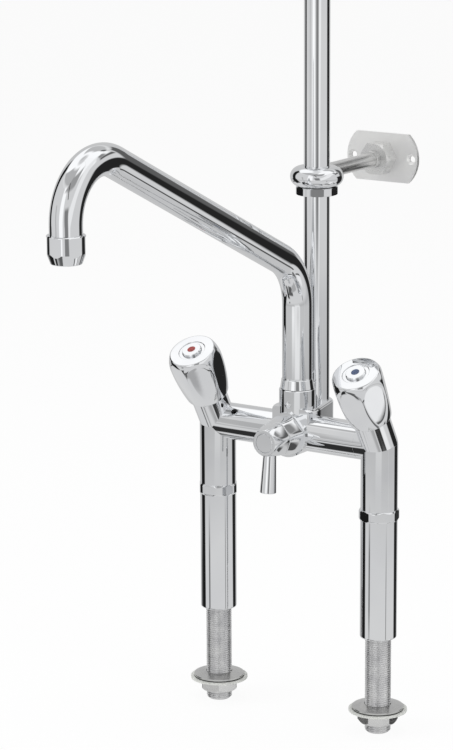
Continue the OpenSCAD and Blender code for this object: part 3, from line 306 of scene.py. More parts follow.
@dataclass(frozen=True)
class Place:
    """Where a piece's own axis stands: a foot point, and a turn about X from upright."""

    x: float = 0.0
    z: float = 0.0
    turn: float = 0.0

    def world(self, points: np.ndarray) -> np.ndarray:
        """Turns points about X by the turn, then moves them to the foot point.

        Args:
            points: Points in millimetres, in the last axis of the array.

        Returns:
            The points in the faucet's frame.
        """
        c, s = math.cos(math.radians(self.turn)), math.sin(math.radians(self.turn))
        about_x = np.array([[1, 0, 0], [0, c, -s], [0, s, c]])
        return points @ about_x.T + np.array([self.x, 0, self.z])


@dataclass(frozen=True)
class Corner:
    """A corner of a turned profile, with the radius that rounds it off."""

    r: float
    z: float
    round: float = 0.0

    HOLD = 0.15
    ROOM = 0.45
    ARC_STEPS = 5

    def softened(self, u: np.ndarray, v: np.ndarray, room: float) -> np.ndarray:
        """The points that take the corner's place.

        An arc that touches both sides replaces the corner: its ends lie radius over the tangent
        of half the opening away, and its points swing evenly from one end to the other. A point a
        little beyond each end holds the side straight. A sharp corner has the holding points only.

        Args:
            u: The direction of the corner before, of length 1.
            v: The direction of the corner after, of length 1.
            room: How far along each side the points may reach.

        Returns:
            Rows of radius and height.
        """
        here = np.array([self.r, self.z], float)
        if self.round <= 0:
            hold = min(self.HOLD, room)
            return np.array([here + u * hold, here, here + v * hold])
        half = math.acos(float(np.clip(u @ v, -1, 1))) / 2
        reach = min(self.round / math.tan(half), room)
        radius = reach * math.tan(half)
        middle = here + (u + v) / np.linalg.norm(u + v) * radius / math.sin(half)
        start, end = here + u * reach - middle, here + v * reach - middle
        swing = math.acos(float(np.clip(start @ end / radius**2, -1, 1)))
        t = np.linspace(0, 1, self.ARC_STEPS + 1)[:, None]
        arc = (np.sin((1 - t) * swing) * start + np.sin(t * swing) * end) / math.sin(swing)
        hold = min(self.HOLD, room - reach)
        if hold <= SLIGHT:
            return middle + arc
        far = reach + hold
        return np.concatenate([[here + u * far], middle + arc, [here + v * far]])


def rounded(corners: list[Corner], closed: bool) -> np.ndarray:
    """Rounds off the corners of a profile, each within its share of the shorter side.

    Args:
        corners: The profile's corners in order.
        closed: Whether the last corner joins the first. If not, the two ends stay as they are.

    Returns:
        The profile as rows of radius and height.
    """
    points = np.array([[c.r, c.z] for c in corners], float)
    last = len(corners) - 1
    out: list[np.ndarray] = []
    for i, corner in enumerate(corners):
        if not closed and i in (0, last):
            out.append(points[i][None])
            continue
        back, on = points[i - 1] - points[i], points[(i + 1) % len(corners)] - points[i]
        back_run, on_run = np.linalg.norm(back), np.linalg.norm(on)
        room = Corner.ROOM * min(back_run, on_run)
        out.append(corner.softened(back / back_run, on / on_run, room))
    return np.concatenate(out)


@dataclass(frozen=True)
class Flats:
    """Six flats round an axis. They may lean, and polishing may leave them a little crowned."""

    low: float
    high: float
    z_low: float
    z_high: float
    turn: float
    soft: float
    hub: float
    crown: float = 0.0

    PAST_END = 1.3

    def cut(self, r: np.ndarray, z: np.ndarray, reach: np.ndarray, angle: np.ndarray) -> np.ndarray:
        """Draws a turned surface in to its six flats.

        A flat's distance d from the axis grows evenly with height, and along an angle off the
        flat's middle the plane lies at d over the cosine of that angle. On a crowned flat d gains
        the crown times 1 - s^2, where s goes from -1 to 1 along the flat and a little past its
        ends, and loses the crown times 3 t^2, where t is the tangent of the angle. The outside
        follows the smaller of the plane and the round, eased over a small width where they meet.
        Points inside the outside keep their share of the way from the hub to it.

        Args:
            r: Radii of the profile's points, down the rows.
            z: Their heights.
            reach: The blank's outer radius at each point, or 0 where nothing is cut.
            angle: The angles round the axis, along the columns.

        Returns:
            The radii, one row for each point of the profile.
        """
        step = math.pi / 3
        off = np.mod(angle - math.radians(self.turn) + math.pi / 2 + step / 2, step) - step / 2
        grow = (z - self.z_low) / (self.z_high - self.z_low)
        along = self.crown * (1 - np.clip(2 * grow - 1, -self.PAST_END, self.PAST_END) ** 2)
        across = self.crown * 3 * np.tan(off) ** 2
        plane = (self.low + (self.high - self.low) * grow + along - across) / np.cos(off)
        near = np.clip(self.soft - np.abs(reach - plane), 0, None) / self.soft
        outside = np.minimum(reach, plane) - near**2 * self.soft / 4
        share = np.clip((r - self.hub) / np.maximum(reach - self.hub, TINY), 0, None)
        drawn = self.hub + share * (outside - self.hub)
        return np.where((reach > 0) & (r > self.hub), drawn, r)


def put(name: str, data: bpy.types.ID) -> bpy.types.Object:
    """Makes an object and puts it into the scene.

    Args:
        name: The object's name.
        data: Its mesh, light or camera.

    Returns:
        The object.
    """
    made = bpy.data.objects.new(name, data)
    bpy.context.scene.collection.objects.link(made)
    return made


def skinned(name: str, points: np.ndarray, finish: Finish) -> bpy.types.Object:
    """Makes a piece from a grid of points that closes both ways.

    Each four neighbours of the grid make a face, and the last row and column join the first.

    Args:
        name: The piece's name.
        points: Points in millimetres, as rows by columns by three.
        finish: The finish it wears.

    Returns:
        The piece, with its place in its mesh.
    """
    here = np.arange(points.size // 3, dtype=np.int32).reshape(points.shape[:2])
    below = np.roll(here, -1, 0)
    quads = np.stack([here, np.roll(here, -1, 1), np.roll(below, -1, 1), below], -1)
    mesh = bpy.data.meshes.new(name)
    mesh.vertices.add(here.size)
    mesh.vertices.foreach_set("co", (points * MM).astype(np.float32).ravel())
    mesh.loops.add(quads.size)
    mesh.loops.foreach_set("vertex_index", quads.ravel())
    mesh.polygons.add(here.size)
    mesh.polygons.foreach_set("loop_start", np.arange(0, quads.size, 4, dtype=np.int32))
    mesh.polygons.foreach_set("use_smooth", np.ones(here.size, bool))
    mesh.update(calc_edges=True)
    mesh.validate()
    mesh.materials.append(finish.material())
    made = put(name, mesh)
    return made


def turned(
    name: str, place: Place, profile: np.ndarray, reach: np.ndarray, flats: Flats, around: int
) -> bpy.types.Object:
    """Turns a closed profile round its axis and draws it in to its flats, in cast chrome.

    A point of the profile at radius r goes to (r cos a, r sin a) at each angle a.

    Args:
        name: The piece's name.
        place: Where the axis stands.
        profile: Rows of radius and height; the solid lies on its left hand side.
        reach: The blank's outer radius at each row, or 0 where nothing is cut.
        flats: The six flats.
        around: How many steps go round.

    Returns:
        The piece.
    """
    angle = np.linspace(0, 2 * math.pi, around, endpoint=False)[None, :]
    r, z, wide = (np.repeat(c[:, None], around, 1) for c in (*profile.T, reach))
    r = flats.cut(r, z, wide, angle)
    points = np.stack([r * np.cos(angle), r * np.sin(angle), z], -1)
    return skinned(name, place.world(points), CAST_CHROME)


def arc_side(
    top_r: float, edge_r: float, run: float, start: float
) -> Callable[[np.ndarray], np.ndarray]:
    """A side that follows an arc, which starts along the axis and falls in to an edge.

    An arc that falls in by f over a length l has the radius (l^2 + f^2) / 2f.

    Args:
        top_r: The side's radius where it starts.
        edge_r: Its radius at the edge.
        run: The distance from the start to the edge.
        start: The height where it starts.

    Returns:
        The side's radius as a function of height.
    """
    fall = top_r - edge_r
    radius = (run**2 + fall**2) / (2 * fall)
    return lambda z: top_r - radius + np.sqrt(np.clip(radius**2 - (z - start) ** 2, 0, None))


# ---------------------------------------------------------------- sub-assemblies


def dress(finish: Finish, *names: str) -> None:
    """Gives CAD nodes a finish.

    Args:
        finish: The finish.
        *names: The nodes' names.
    """
    for name in names:
        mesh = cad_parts[name].data
        mesh.materials.clear()
        mesh.materials.append(finish.material())
        log.info("%s wears %s", name, finish.name)


def stand_in(piece: bpy.types.Object, body: str, *names: str) -> None:
    """Lets a piece ride on a body and stand for CAD nodes.

    Args:
        piece: The piece.
        body: The body that it moves with.
        *names: The nodes that it stands for.
    """
    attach(piece, body)
    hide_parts(*names)
    log.info("%s rides on %s, %d faces", piece.name, body, len(piece.data.polygons))


class Assembly:
    """A sub-assembly: it builds the pieces that stand for CAD nodes and dresses other nodes."""

    def build(self) -> None:
        """Builds the pieces that stand for CAD nodes, if it has any."""

    def dress(self) -> None:
        """Gives its CAD nodes their finishes, if it has any."""


@dataclass
class InletLeg(Assembly):
    """One leg: the threaded shank, the sleeve and shroud over it, and the valve body above."""

    side: Side
    shank_r: float = 10.4775
    shank_low: float = -79.0
    shank_high: float = 88.2
    bore_r: float = 6.5
    pitch: float = 1.814
    thread_depth: float = 1.16
    thread_top: float = -0.5
    flank_gain: float = 1.25
    chamfer: float = 1.8
    bore_chamfer: float = 0.3
    top_chamfer: float = 0.5
    rows_a_turn: int = 8
    around: int = 64

    def build(self) -> None:
        """Builds the threaded shank."""
        stand_in(self.shank(), "faucet_body", f"{self.side.word}_inlet_shank")

    def shank(self) -> bpy.types.Object:
        """The shank, with its pipe thread cut into the length below the deck.

        The radius at height z and angle a is the major radius less the depth times a triangle
        wave of (z over pitch minus a over a full turn), which a gain cuts flat at crest and root.
        The wave fades out at the thread's top, and the lower end is chamfered.

        Returns:
            The shank.
        """
        low, top = self.shank_low, self.thread_top
        turns = (top - low) / self.pitch
        z = np.linspace(low, top, int(turns * self.rows_a_turn))[:, None]
        angle = np.linspace(0, 2 * math.pi, self.around, endpoint=False)
        phase = np.mod(z / self.pitch - angle[None, :] / (2 * math.pi), 1)
        cut_off = (self.flank_gain - 1) / 2
        wave = np.clip(np.abs(2 * phase - 1) * self.flank_gain - cut_off, 0, 1)
        fade = np.clip((top - z) / self.pitch, 0, 1)
        r = self.shank_r - self.thread_depth * wave * fade
        lead = self.shank_r - np.clip(self.chamfer - (z - low), 0, None)
        thread = np.stack([np.minimum(r, lead), np.repeat(z, self.around, 1)], -1)
        inside, outside = self.bore_chamfer, self.top_chamfer
        foot = [
            [self.bore_r, self.shank_high], [self.bore_r, low + inside],
            [self.bore_r + inside, low], [self.shank_r - self.chamfer - inside, low],
        ]
        head = [
            [self.shank_r, top + outside], [self.shank_r, self.shank_high - outside],
            [self.shank_r - outside, self.shank_high],
        ]
        foot_rings, head_rings = (
            np.repeat(np.array(rows)[:, None, :], self.around, 1) for rows in (foot, head)
        )
        r, z = np.moveaxis(np.concatenate([foot_rings, thread, head_rings]), -1, 0)
        points = np.stack([r * np.cos(angle), r * np.sin(angle), z], -1)
        name = f"{self.side.word}_threaded_shank"
        return skinned(name, Place(x=self.side.x).world(points), THREAD_STEEL)

    def dress(self) -> None:
        """Gives the leg's other pieces their finishes."""
        word = self.side.word
        dress(TUBE_CHROME, f"{word}_shroud", f"{word}_inlet_sleeve")
        dress(CAST_CHROME, f"{word}_valve_body")


@dataclass
class UnionNut(Assembly):
    """The union nut above one leg: a round bar with rounded ends and six flats."""

    side: Side
    flat_turn: float
    low: float = 97.3
    height: float = 8.7
    outer_r: float = 16.1
    flat: float = 15.1
    flat_soft: float = 0.35
    bore_r: float = 12.55
    neck_r: float = 11.5
    neck: float = 2.3
    end_fall: float = 0.9
    end_run: float = 1.3
    end_round: float = 0.8
    end_edge: float = 0.15
    bore_edge: float = 0.1
    bore_margin: float = 0.2
    around: int = 360

    def build(self) -> None:
        """Builds the nut."""
        stand_in(self.nut(), "faucet_body", f"{self.side.word}_union_nut")

    def nut(self) -> bpy.types.Object:
        """The nut, turned from its profile and drawn in to six flats.

        Returns:
            The nut.
        """
        low, top, end_r = self.low, self.low + self.height, self.outer_r - self.end_fall
        profile = rounded(
            [
                Corner(self.neck_r, low, self.bore_edge),
                Corner(end_r, low, self.end_edge),
                Corner(self.outer_r, low + self.end_run, self.end_round),
                Corner(self.outer_r, top - self.end_run, self.end_round),
                Corner(end_r, top, self.end_edge),
                Corner(self.bore_r, top, self.bore_edge),
                Corner(self.bore_r, low + self.neck),
                Corner(self.neck_r, low + self.neck),
            ],
            closed=True,
        )
        reach = np.where(profile[:, 0] > self.bore_r + self.bore_margin, profile[:, 0], 0)
        flats = Flats(
            self.flat, self.flat, low, top, self.flat_turn, soft=self.flat_soft, hub=self.bore_r
        )
        name = f"{self.side.word}_flatted_nut"
        return turned(name, Place(x=self.side.x), profile, reach, flats, self.around)


class LegFittings(Assembly):
    """The washers, nuts, screws, discs and seals that come in pairs."""

    def dress(self) -> None:
        """Gives them their finishes."""
        dress(WASHER_STEEL, "dished_washers")
        dress(BLACK_RUBBER, "rubber_gaskets", "union_seals", "spigot_o_rings", "seat_seals")
        dress(PALE_PLASTIC, "backing_washers")
        dress(SATIN_STEEL, "backnuts", "inlet_strainers")
        dress(DARK_SCREW, "arm_set_screws")
        dress(WHITE_CERAMIC, "fixed_discs")


@dataclass
class Knob(Assembly):
    """One handle: a tapered blank with six leaning flats, its cap, its dot and its headwork.

    Heights run up the tilted axis from the arms' axis.
    """

    side: Side
    flat_turn: float
    body: str
    dot: str
    enamel: Finish
    tilt: float = 30.0
    low: float = 27.7
    face: float = 73.6
    shoulder_drop: float = 12.0
    low_r: float = 17.0
    high_r: float = 21.6
    face_r: float = 18.5
    flat_low: float = 17.1
    flat_high: float = 19.4
    flat_soft: float = 1.0
    flat_crown: float = 0.25
    hollow_r: float = 13.7
    hollow_top: float = 43.9
    hollow_round: float = 0.6
    mouth_round: float = 0.4
    wall_margin: float = 0.5
    roof_margin: float = 1.0
    recess_r: float = 11.0
    recess: float = 0.6
    recess_slope: float = 0.35
    recess_edge: float = 0.25
    recess_foot: float = 0.2
    cap_hole_r: float = 8.0
    cap_hole: float = 2.0
    cap_edge: float = 0.15
    spline_r: float = 4.05
    lip_round: float = 1.3
    face_round: float = 1.5
    rows: int = 56
    around: int = 360

    def build(self) -> None:
        """Builds the knob's shell."""
        stand_in(self.shell(), self.body, f"{self.side.word}_handle")

    def shell(self) -> bpy.types.Object:
        """The knob's shell, turned from its profile and drawn in to six flats.

        Returns:
            The shell.
        """
        side_z = np.linspace(self.low + 2 * self.lip_round, self.face - self.face_round, self.rows)
        side = np.stack([self.blank(side_z), side_z], -1)
        floor, recess = self.face - self.cap_hole, self.face - self.recess
        bottom = rounded(
            [
                Corner(self.cap_hole_r, floor),
                Corner(self.spline_r, floor),
                Corner(self.spline_r, self.hollow_top),
                Corner(self.hollow_r, self.hollow_top, self.hollow_round),
                Corner(self.hollow_r, self.low, self.mouth_round),
                Corner(self.low_r, self.low, self.lip_round),
                Corner(*side[0]),
            ],
            closed=False,
        )
        top = rounded(
            [
                Corner(*side[-1]),
                Corner(self.face_r, self.face, self.face_round),
                Corner(self.recess_r, self.face, self.recess_edge),
                Corner(self.recess_r - self.recess_slope, recess, self.recess_foot),
                Corner(self.cap_hole_r, recess, self.cap_edge),
                Corner(self.cap_hole_r, floor),
            ],
            closed=False,
        )
        profile = np.concatenate([bottom, side[1:-1], top])
        r, z = profile.T
        past_wall = r > self.hollow_r + self.wall_margin
        past_roof = (r > self.hollow_r) & (z > self.hollow_top + self.roof_margin)
        flats = Flats(
            self.flat_low, self.flat_high, self.low, self.face - self.shoulder_drop,
            self.flat_turn, self.flat_soft, self.hollow_r, self.flat_crown,
        )
        return turned(
            f"{self.side.word}_knob", Place(self.side.x, ARMS_HEIGHT, self.tilt), profile,
            np.where(past_wall | past_roof, np.maximum(self.blank(z), r), 0), flats, self.around,
        )

    def blank(self, z: np.ndarray) -> np.ndarray:
        """The knob's radius before its flats, as two arcs that meet at the shoulder.

        Args:
            z: Heights along the knob's axis.

        Returns:
            The radius at each height. The lower arc ends at the lip, the upper at the face's edge.
        """
        shoulder = self.face - self.shoulder_drop
        belly = arc_side(self.high_r, self.low_r, shoulder - self.low, shoulder)
        crown = arc_side(self.high_r, self.face_r, self.shoulder_drop, shoulder)
        return np.where(z < shoulder, belly(z), crown(z))

    def dress(self) -> None:
        """Gives the knob's cap, dot and inner pieces their finishes."""
        word = self.side.word
        dress(CAST_CHROME, f"{word}_handle_cap")
        dress(self.enamel, self.dot)
        dress(SATIN_STEEL, f"{word}_handle_screw")
        dress(TURNED_BRASS, f"{word}_headwork", f"{word}_spindle")
        dress(WHITE_CERAMIC, f"{word}_moving_disc")


class Bridge(Assembly):
    """The centre casting with its two arms."""

    def dress(self) -> None:
        """Gives the casting its finish."""
        dress(CAST_CHROME, "bridge_body")


@dataclass
class Diverter(Assembly):
    """The diverter on the front of the casting: bonnet, knob, cap and lever.

    Heights run from the spout's axis to the user.
    """

    flat_turn: float = 10.0
    flat_crown: float = 0.3
    stem_r: float = 4.56
    thread_low: float = 10.3
    thread_r: float = 12.0
    bonnet_back: float = 16.5
    bonnet_front: float = 32.0
    bonnet_back_r: float = 17.2
    bonnet_front_r: float = 14.2
    bonnet_flat_back: float = 15.7
    bonnet_flat_front: float = 13.0
    bonnet_flat_soft: float = 0.7
    bonnet_back_edge: float = 0.3
    bonnet_front_edge: float = 0.5
    bonnet_inset: float = 0.6
    side_inset: float = 1.0
    knob_back: float = 32.3
    knob_face: float = 48.9
    knob_back_r: float = 14.2
    knob_face_r: float = 10.3
    knob_flat_back: float = 13.0
    knob_flat_face: float = 10.6
    knob_flat_soft: float = 0.8
    knob_back_edge: float = 0.5
    knob_face_edge: float = 0.6
    cap_hole_r: float = 7.8
    cap_hole: float = 2.2
    cap_hole_edge: float = 0.2
    rows: int = 20
    around: int = 216

    def build(self) -> None:
        """Builds the bonnet and the knob."""
        stand_in(self.bonnet(), "faucet_body", "diverter_bonnet")
        stand_in(self.knob(), "diverter_assembly", "diverter_knob")

    def shell(
        self, name: str, profile: np.ndarray, reach: np.ndarray, flats: Flats
    ) -> bpy.types.Object:
        """Turns a profile round the diverter's level axis, which faces the user.

        Args:
            name: The piece's name.
            profile: Rows of radius and height.
            reach: The blank's outer radius at each row, or 0 where nothing is cut.
            flats: The six flats.

        Returns:
            The piece.
        """
        return turned(name, Place(z=ARMS_HEIGHT, turn=90.0), profile, reach, flats, self.around)

    def bonnet(self) -> bpy.types.Object:
        """The bonnet: a cone drawn in to six leaning flats, with its thread behind it.

        Returns:
            The bonnet.
        """

        def cone(z: np.ndarray) -> np.ndarray:
            """The cone's radius at each height."""
            ends = [self.bonnet_back, self.bonnet_front]
            return np.interp(z, ends, [self.bonnet_back_r, self.bonnet_front_r])

        back_end = self.bonnet_back + self.bonnet_inset
        side_z = np.linspace(back_end, self.bonnet_front - self.side_inset, self.rows)
        side = np.stack([cone(side_z), side_z], -1)
        back = rounded(
            [
                Corner(self.stem_r, self.bonnet_front),
                Corner(self.stem_r, self.thread_low),
                Corner(self.thread_r, self.thread_low, self.bonnet_back_edge),
                Corner(self.thread_r, self.bonnet_back),
                Corner(self.bonnet_back_r, self.bonnet_back, self.bonnet_back_edge),
                Corner(*side[0]),
            ],
            closed=False,
        )
        front = rounded(
            [
                Corner(*side[-1]),
                Corner(self.bonnet_front_r, self.bonnet_front, self.bonnet_front_edge),
                Corner(self.stem_r, self.bonnet_front),
            ],
            closed=False,
        )
        profile = np.concatenate([back, side[1:-1], front[:-1]])
        r, z = profile.T
        outside = (z > self.bonnet_back - SLIGHT) & (r > self.stem_r + SLIGHT)
        flats = Flats(
            self.bonnet_flat_back, self.bonnet_flat_front, self.bonnet_back, self.bonnet_front,
            self.flat_turn, self.bonnet_flat_soft, self.stem_r, self.flat_crown,
        )
        reach = np.where(outside, np.maximum(cone(z), r), 0)
        return self.shell("diverter_bonnet_shell", profile, reach, flats)

    def knob(self) -> bpy.types.Object:
        """The knob: a blank with a bulging side, drawn in to six flats from end to end.

        Returns:
            The knob.
        """
        blank = arc_side(
            self.knob_back_r, self.knob_face_r, self.knob_face - self.knob_back, self.knob_back
        )
        back_end = self.knob_back + self.side_inset
        side_z = np.linspace(back_end, self.knob_face - self.side_inset, self.rows)
        side = np.stack([blank(side_z), side_z], -1)
        floor = self.knob_face - self.cap_hole
        back = rounded(
            [
                Corner(self.stem_r, floor),
                Corner(self.stem_r, self.knob_back),
                Corner(self.knob_back_r, self.knob_back, self.knob_back_edge),
                Corner(*side[0]),
            ],
            closed=False,
        )
        front = rounded(
            [
                Corner(*side[-1]),
                Corner(self.knob_face_r, self.knob_face, self.knob_face_edge),
                Corner(self.cap_hole_r, self.knob_face, self.cap_hole_edge),
                Corner(self.cap_hole_r, floor),
                Corner(self.stem_r, floor),
            ],
            closed=False,
        )
        profile = np.concatenate([back, side[1:-1], front[:-1]])
        r, z = profile.T
        flats = Flats(
            self.knob_flat_back, self.knob_flat_face, self.knob_back, self.knob_face,
            self.flat_turn, self.knob_flat_soft, self.cap_hole_r, self.flat_crown,
        )
        reach = np.where(r > self.cap_hole_r + SLIGHT, np.maximum(blank(z), r), 0)
        return self.shell("diverter_knob_shell", profile, reach, flats)

    def dress(self) -> None:
        """Gives its other pieces their finishes."""
        dress(CAST_CHROME, "diverter_knob_cap", "diverter_lever")
        dress(BLACK_RUBBER, "diverter_o_ring")
        dress(TURNED_BRASS, "diverter_plug", "diverter_spindle")
        dress(SATIN_STEEL, "diverter_knob_screw")


@dataclass
class Spout(Assembly):
    """The spout: its bent tube, the collar at its foot, the locking screw and the nozzle."""

    tube_r: float = 12.07
    wall: float = 1.2
    foot_z: float = 195.55
    elbow_z: float = 262.3
    elbow_r: float = 45.8
    elbow_angle: float = 64.4
    run: float = 242.8
    crook_r: float = 41.1
    drop: float = 14.0
    around: int = 96

    def build(self) -> None:
        """Builds the bent tube."""
        stand_in(self.tube(), "spout_assembly", "spout_tube")

    def path(self) -> tuple[np.ndarray, np.ndarray]:
        """The tube's centreline and its heading.

        The line starts upright. Over each stretch the lean from upright either stays or grows
        evenly with length, so a bend's curvature is one over its radius. The points are the sums
        of short steps, each one along the mean lean of its step and as long as its chord.

        Returns:
            Points in the Y-Z plane and leans in radians.
        """
        angle = self.elbow_angle
        # Each stretch has its length, its lean at both ends and its number of steps
        stretches = [
            (self.elbow_z - self.foot_z, 0.0, 0.0, 8),
            (self.elbow_r * math.radians(angle), 0.0, angle, 40),
            (self.run, angle, angle, 20),
            (self.crook_r * math.radians(180 - angle), angle, 180.0, 72),
            (self.drop, 180.0, 180.0, 4),
        ]
        lengths = np.concatenate([np.full(n, length / n) for length, _, _, n in stretches])
        leans = [np.linspace(a, b, n + 1)[1:] for _, a, b, n in stretches]
        lean = np.radians(np.concatenate([[0.0], *leans]))
        mean, half = (lean[1:] + lean[:-1]) / 2, (lean[1:] - lean[:-1]) / 2
        chord = lengths * np.sinc(half / math.pi)
        y = np.concatenate([[0.0], np.cumsum(-np.sin(mean) * chord)])
        z = np.concatenate([[self.foot_z], self.foot_z + np.cumsum(np.cos(mean) * chord)])
        return np.stack([y, z], -1), lean

    def tube(self) -> bpy.types.Object:
        """The tube, as a circle carried along its centreline.

        At each point of the line the circle lies across it: one axis is X, and the other is the
        line's own normal in the Y-Z plane. The outer skin runs up the line and the inner one back.

        Returns:
            The tube.
        """
        line, lean = self.path()
        angle = np.linspace(0, 2 * math.pi, self.around, endpoint=False)
        normal = np.stack([np.cos(lean), np.sin(lean)], -1)

        def skin(radius: float) -> np.ndarray:
            """Circles of a radius across the line."""
            x = np.repeat(radius * np.cos(angle)[None], len(line), 0)
            side = radius * np.sin(angle)[None, :, None]
            return np.concatenate([x[..., None], line[:, None] + side * normal[:, None]], -1)

        points = np.concatenate([skin(self.tube_r), skin(self.tube_r - self.wall)[::-1]])
        return skinned("spout_bent_tube", points, TUBE_CHROME)

    def dress(self) -> None:
        """Gives the spout's other pieces their finishes."""
        dress(TUBE_CHROME, "spout_collar", "nozzle")
        dress(CAST_CHROME, "spout_lock_screw")
        dress(TURNED_BRASS, "spout_tail")
        dress(BLACK_RUBBER, "spout_o_rings", "aerator_washer")
        dress(PALE_PLASTIC, "aerator_insert")


class RiserBracket(Assembly):
    """The riser pipe and the bracket that holds it to the wall."""

    def dress(self) -> None:
        """Gives its pieces their finishes."""
        dress(TUBE_CHROME, "riser_pipe", "clamp_ring", "clamp_nut")
        dress(SATIN_STEEL, "wall_rod", "wall_sleeve", "wall_nut")
        dress(PLATE_STEEL, "wall_plate")
        dress(BLACK_RUBBER, "riser_seal")
        dress(TURNED_BRASS, "split_cone")


# ---------------------------------------------------------------- studio


@dataclass(frozen=True)
class Panel:
    """A soft-edged patch of the studio's tent, by its direction from the faucet."""

    azimuth: float
    half_width: float
    low: float
    high: float
    glow: float
    soft: float
    lean: float = 0.0

    def cover(self, azimuth: np.ndarray, elevation: np.ndarray) -> np.ndarray:
        """How much of a direction the patch covers.

        It is 1 inside, and falls off evenly over the soft width at the four edges. Each degree
        above the patch's middle moves its azimuth by the lean.

        Args:
            azimuth: Directions round Z from +X, in degrees.
            elevation: Directions above level, in degrees.

        Returns:
            The cover, from 0 to 1.
        """
        middle = self.azimuth + self.lean * (elevation - (self.low + self.high) / 2)
        off = np.abs(np.mod(azimuth - middle + 180, 360) - 180)
        across = np.clip((self.half_width - off) / self.soft + 0.5, 0, 1)
        above = np.clip((elevation - self.low) / self.soft + 0.5, 0, 1)
        below = np.clip((self.high - elevation) / self.soft + 0.5, 0, 1)
        return across * above * below


PANELS = tuple(
    Panel(*row)
    for row in (
        # The room: a darker part behind, a band at the floor's edge and bright fields
        (118, 53, -90, 90, 0.62, 2, 0.4),
        (180, 180, -16, -10, 0.52, 6),
        (180, 180, 46, 80, 1.15, 6),
        (15, 15, 34, 80, 1.12, 6),
        (-88, 11, -11, 60, 1.12, 4),
        (-19, 18, -14, 50, 0.95, 6, 1.3),
        # Grey fields above
        (104, 37, 47, 70, 0.55, 6, 0.8),
        (-99, 43, 47, 72, 0.5, 6, 1.5),
        (-47, 29, 40, 60, 0.36, 5, 1.6),
        # Upright flags, which the tubes and legs mirror as dark streaks
        (-56, 11, -9, 18, 0.24, 5, -0.2),
        (-123, 3.5, -6, 20, 0.5, 2, -0.2),
        (183, 11.5, -9, 45, 0.012, 3, -0.2),
        (-167, 17, -34, -6, 0.012, 4, -0.4),
        (64, 19, -34, 9, 0.02, 4, -0.4),
        (76, 12, 6, 40, 0.12, 4, 0.4),
        # Flags below, which the undersides and leaning flats mirror
        (-136, 9, -58, -29, 0.03, 4, 0.9),
        (-107, 20, -64, -38, 0.12, 4, 0.3),
        (-8, 3, -57, -41, 0.04, 2, 1.8),
        (14, 22, -57, -49, 0.16, 2, 0.1),
        (170, 9, -24, -18, 0.12, 2, 0.9),
        (-12, 2, -26, -18, 0.2, 2),
        (-118, 5, -22, -18, 0.2, 2),
        (-61, 28, -66, -48, 0.45, 3, -1.1),
        # Small flags and windows
        (-65, 2, 29, 52, 0.03, 2, -0.6),
        (50, 13, 27, 35, 0.12, 3),
        (43, 6, 36, 47, 0.28, 3),
        (57, 5, 37, 47, 1.05, 2),
        (67, 4, 46, 56, 0.08, 3),
        (48, 8, -43, -37, 0.08, 2),
        (19, 12, -45, -29, 0.95, 4),
        (29, 2, -45, -29, 0.1, 2, 0.3),
    )
)


def posed(right: np.ndarray, up: np.ndarray, back: np.ndarray, spot: Triple) -> Matrix:
    """The place of something that looks along its own -Z.

    Args:
        right: Its own X axis.
        up: Its own Y axis.
        back: Its own Z axis.
        spot: Where it stands, in metres.

    Returns:
        The matrix from its own frame to the world's.
    """
    return Matrix([[right[i], up[i], back[i], spot[i]] for i in range(3)] + [[0, 0, 0, 1]])


@dataclass(frozen=True)
class Lamp:
    """A large soft lamp that points at the faucet, in metres and watts."""

    name: str
    spot: Triple
    size: float
    power: float
    aim: Triple = (0.0, -0.1, 0.2)

    def build(self) -> None:
        """Builds the lamp, which mirrors don't show."""
        light = bpy.data.lights.new(self.name, "AREA")
        light.size = self.size
        light.energy = self.power
        away = np.subtract(self.spot, self.aim)
        away /= np.linalg.norm(away)
        right = np.cross([0, 0, 1.0], away)
        right /= np.linalg.norm(right)
        lamp = put(self.name, light)
        lamp.matrix_world = posed(right, np.cross(away, right), away, self.spot)
        lamp.visible_glossy = False


@dataclass(frozen=True)
class View:
    """The photograph's view. It looks along its azimuth and down by its pitch.

    The spot is in metres and the focal length in rows of the photograph.
    """

    azimuth: float = 33.7081
    pitch: float = 12.9459
    roll: float = 0.2856
    spot: Triple = (1.23819, -1.95767, 0.737375)
    focal_rows: float = 2981.73
    rows: int = 750
    sensor: float = 36.0
    clip_end: float = 60.0

    def build(self) -> None:
        """Builds the camera, with its picture turned by the roll."""
        azimuth, pitch, roll = (math.radians(v) for v in (self.azimuth, self.pitch, self.roll))
        level = np.array([-math.sin(azimuth), math.cos(azimuth), 0])
        right = np.array([math.cos(azimuth), math.sin(azimuth), 0])
        ahead = level * math.cos(pitch) - np.array([0, 0, math.sin(pitch)])
        down = np.cross(ahead, right)
        across = right * math.cos(roll) + down * math.sin(roll)
        fall = down * math.cos(roll) - right * math.sin(roll)
        data = bpy.data.cameras.new("camera")
        data.sensor_fit = "VERTICAL"
        data.sensor_height = self.sensor
        data.lens = self.focal_rows / self.rows * self.sensor
        data.clip_end = self.clip_end
        camera = put("camera", data)
        camera.matrix_world = posed(across, -fall, -ahead, self.spot)
        bpy.context.scene.camera = camera
        bpy.context.scene.view_settings.view_transform = "Standard"


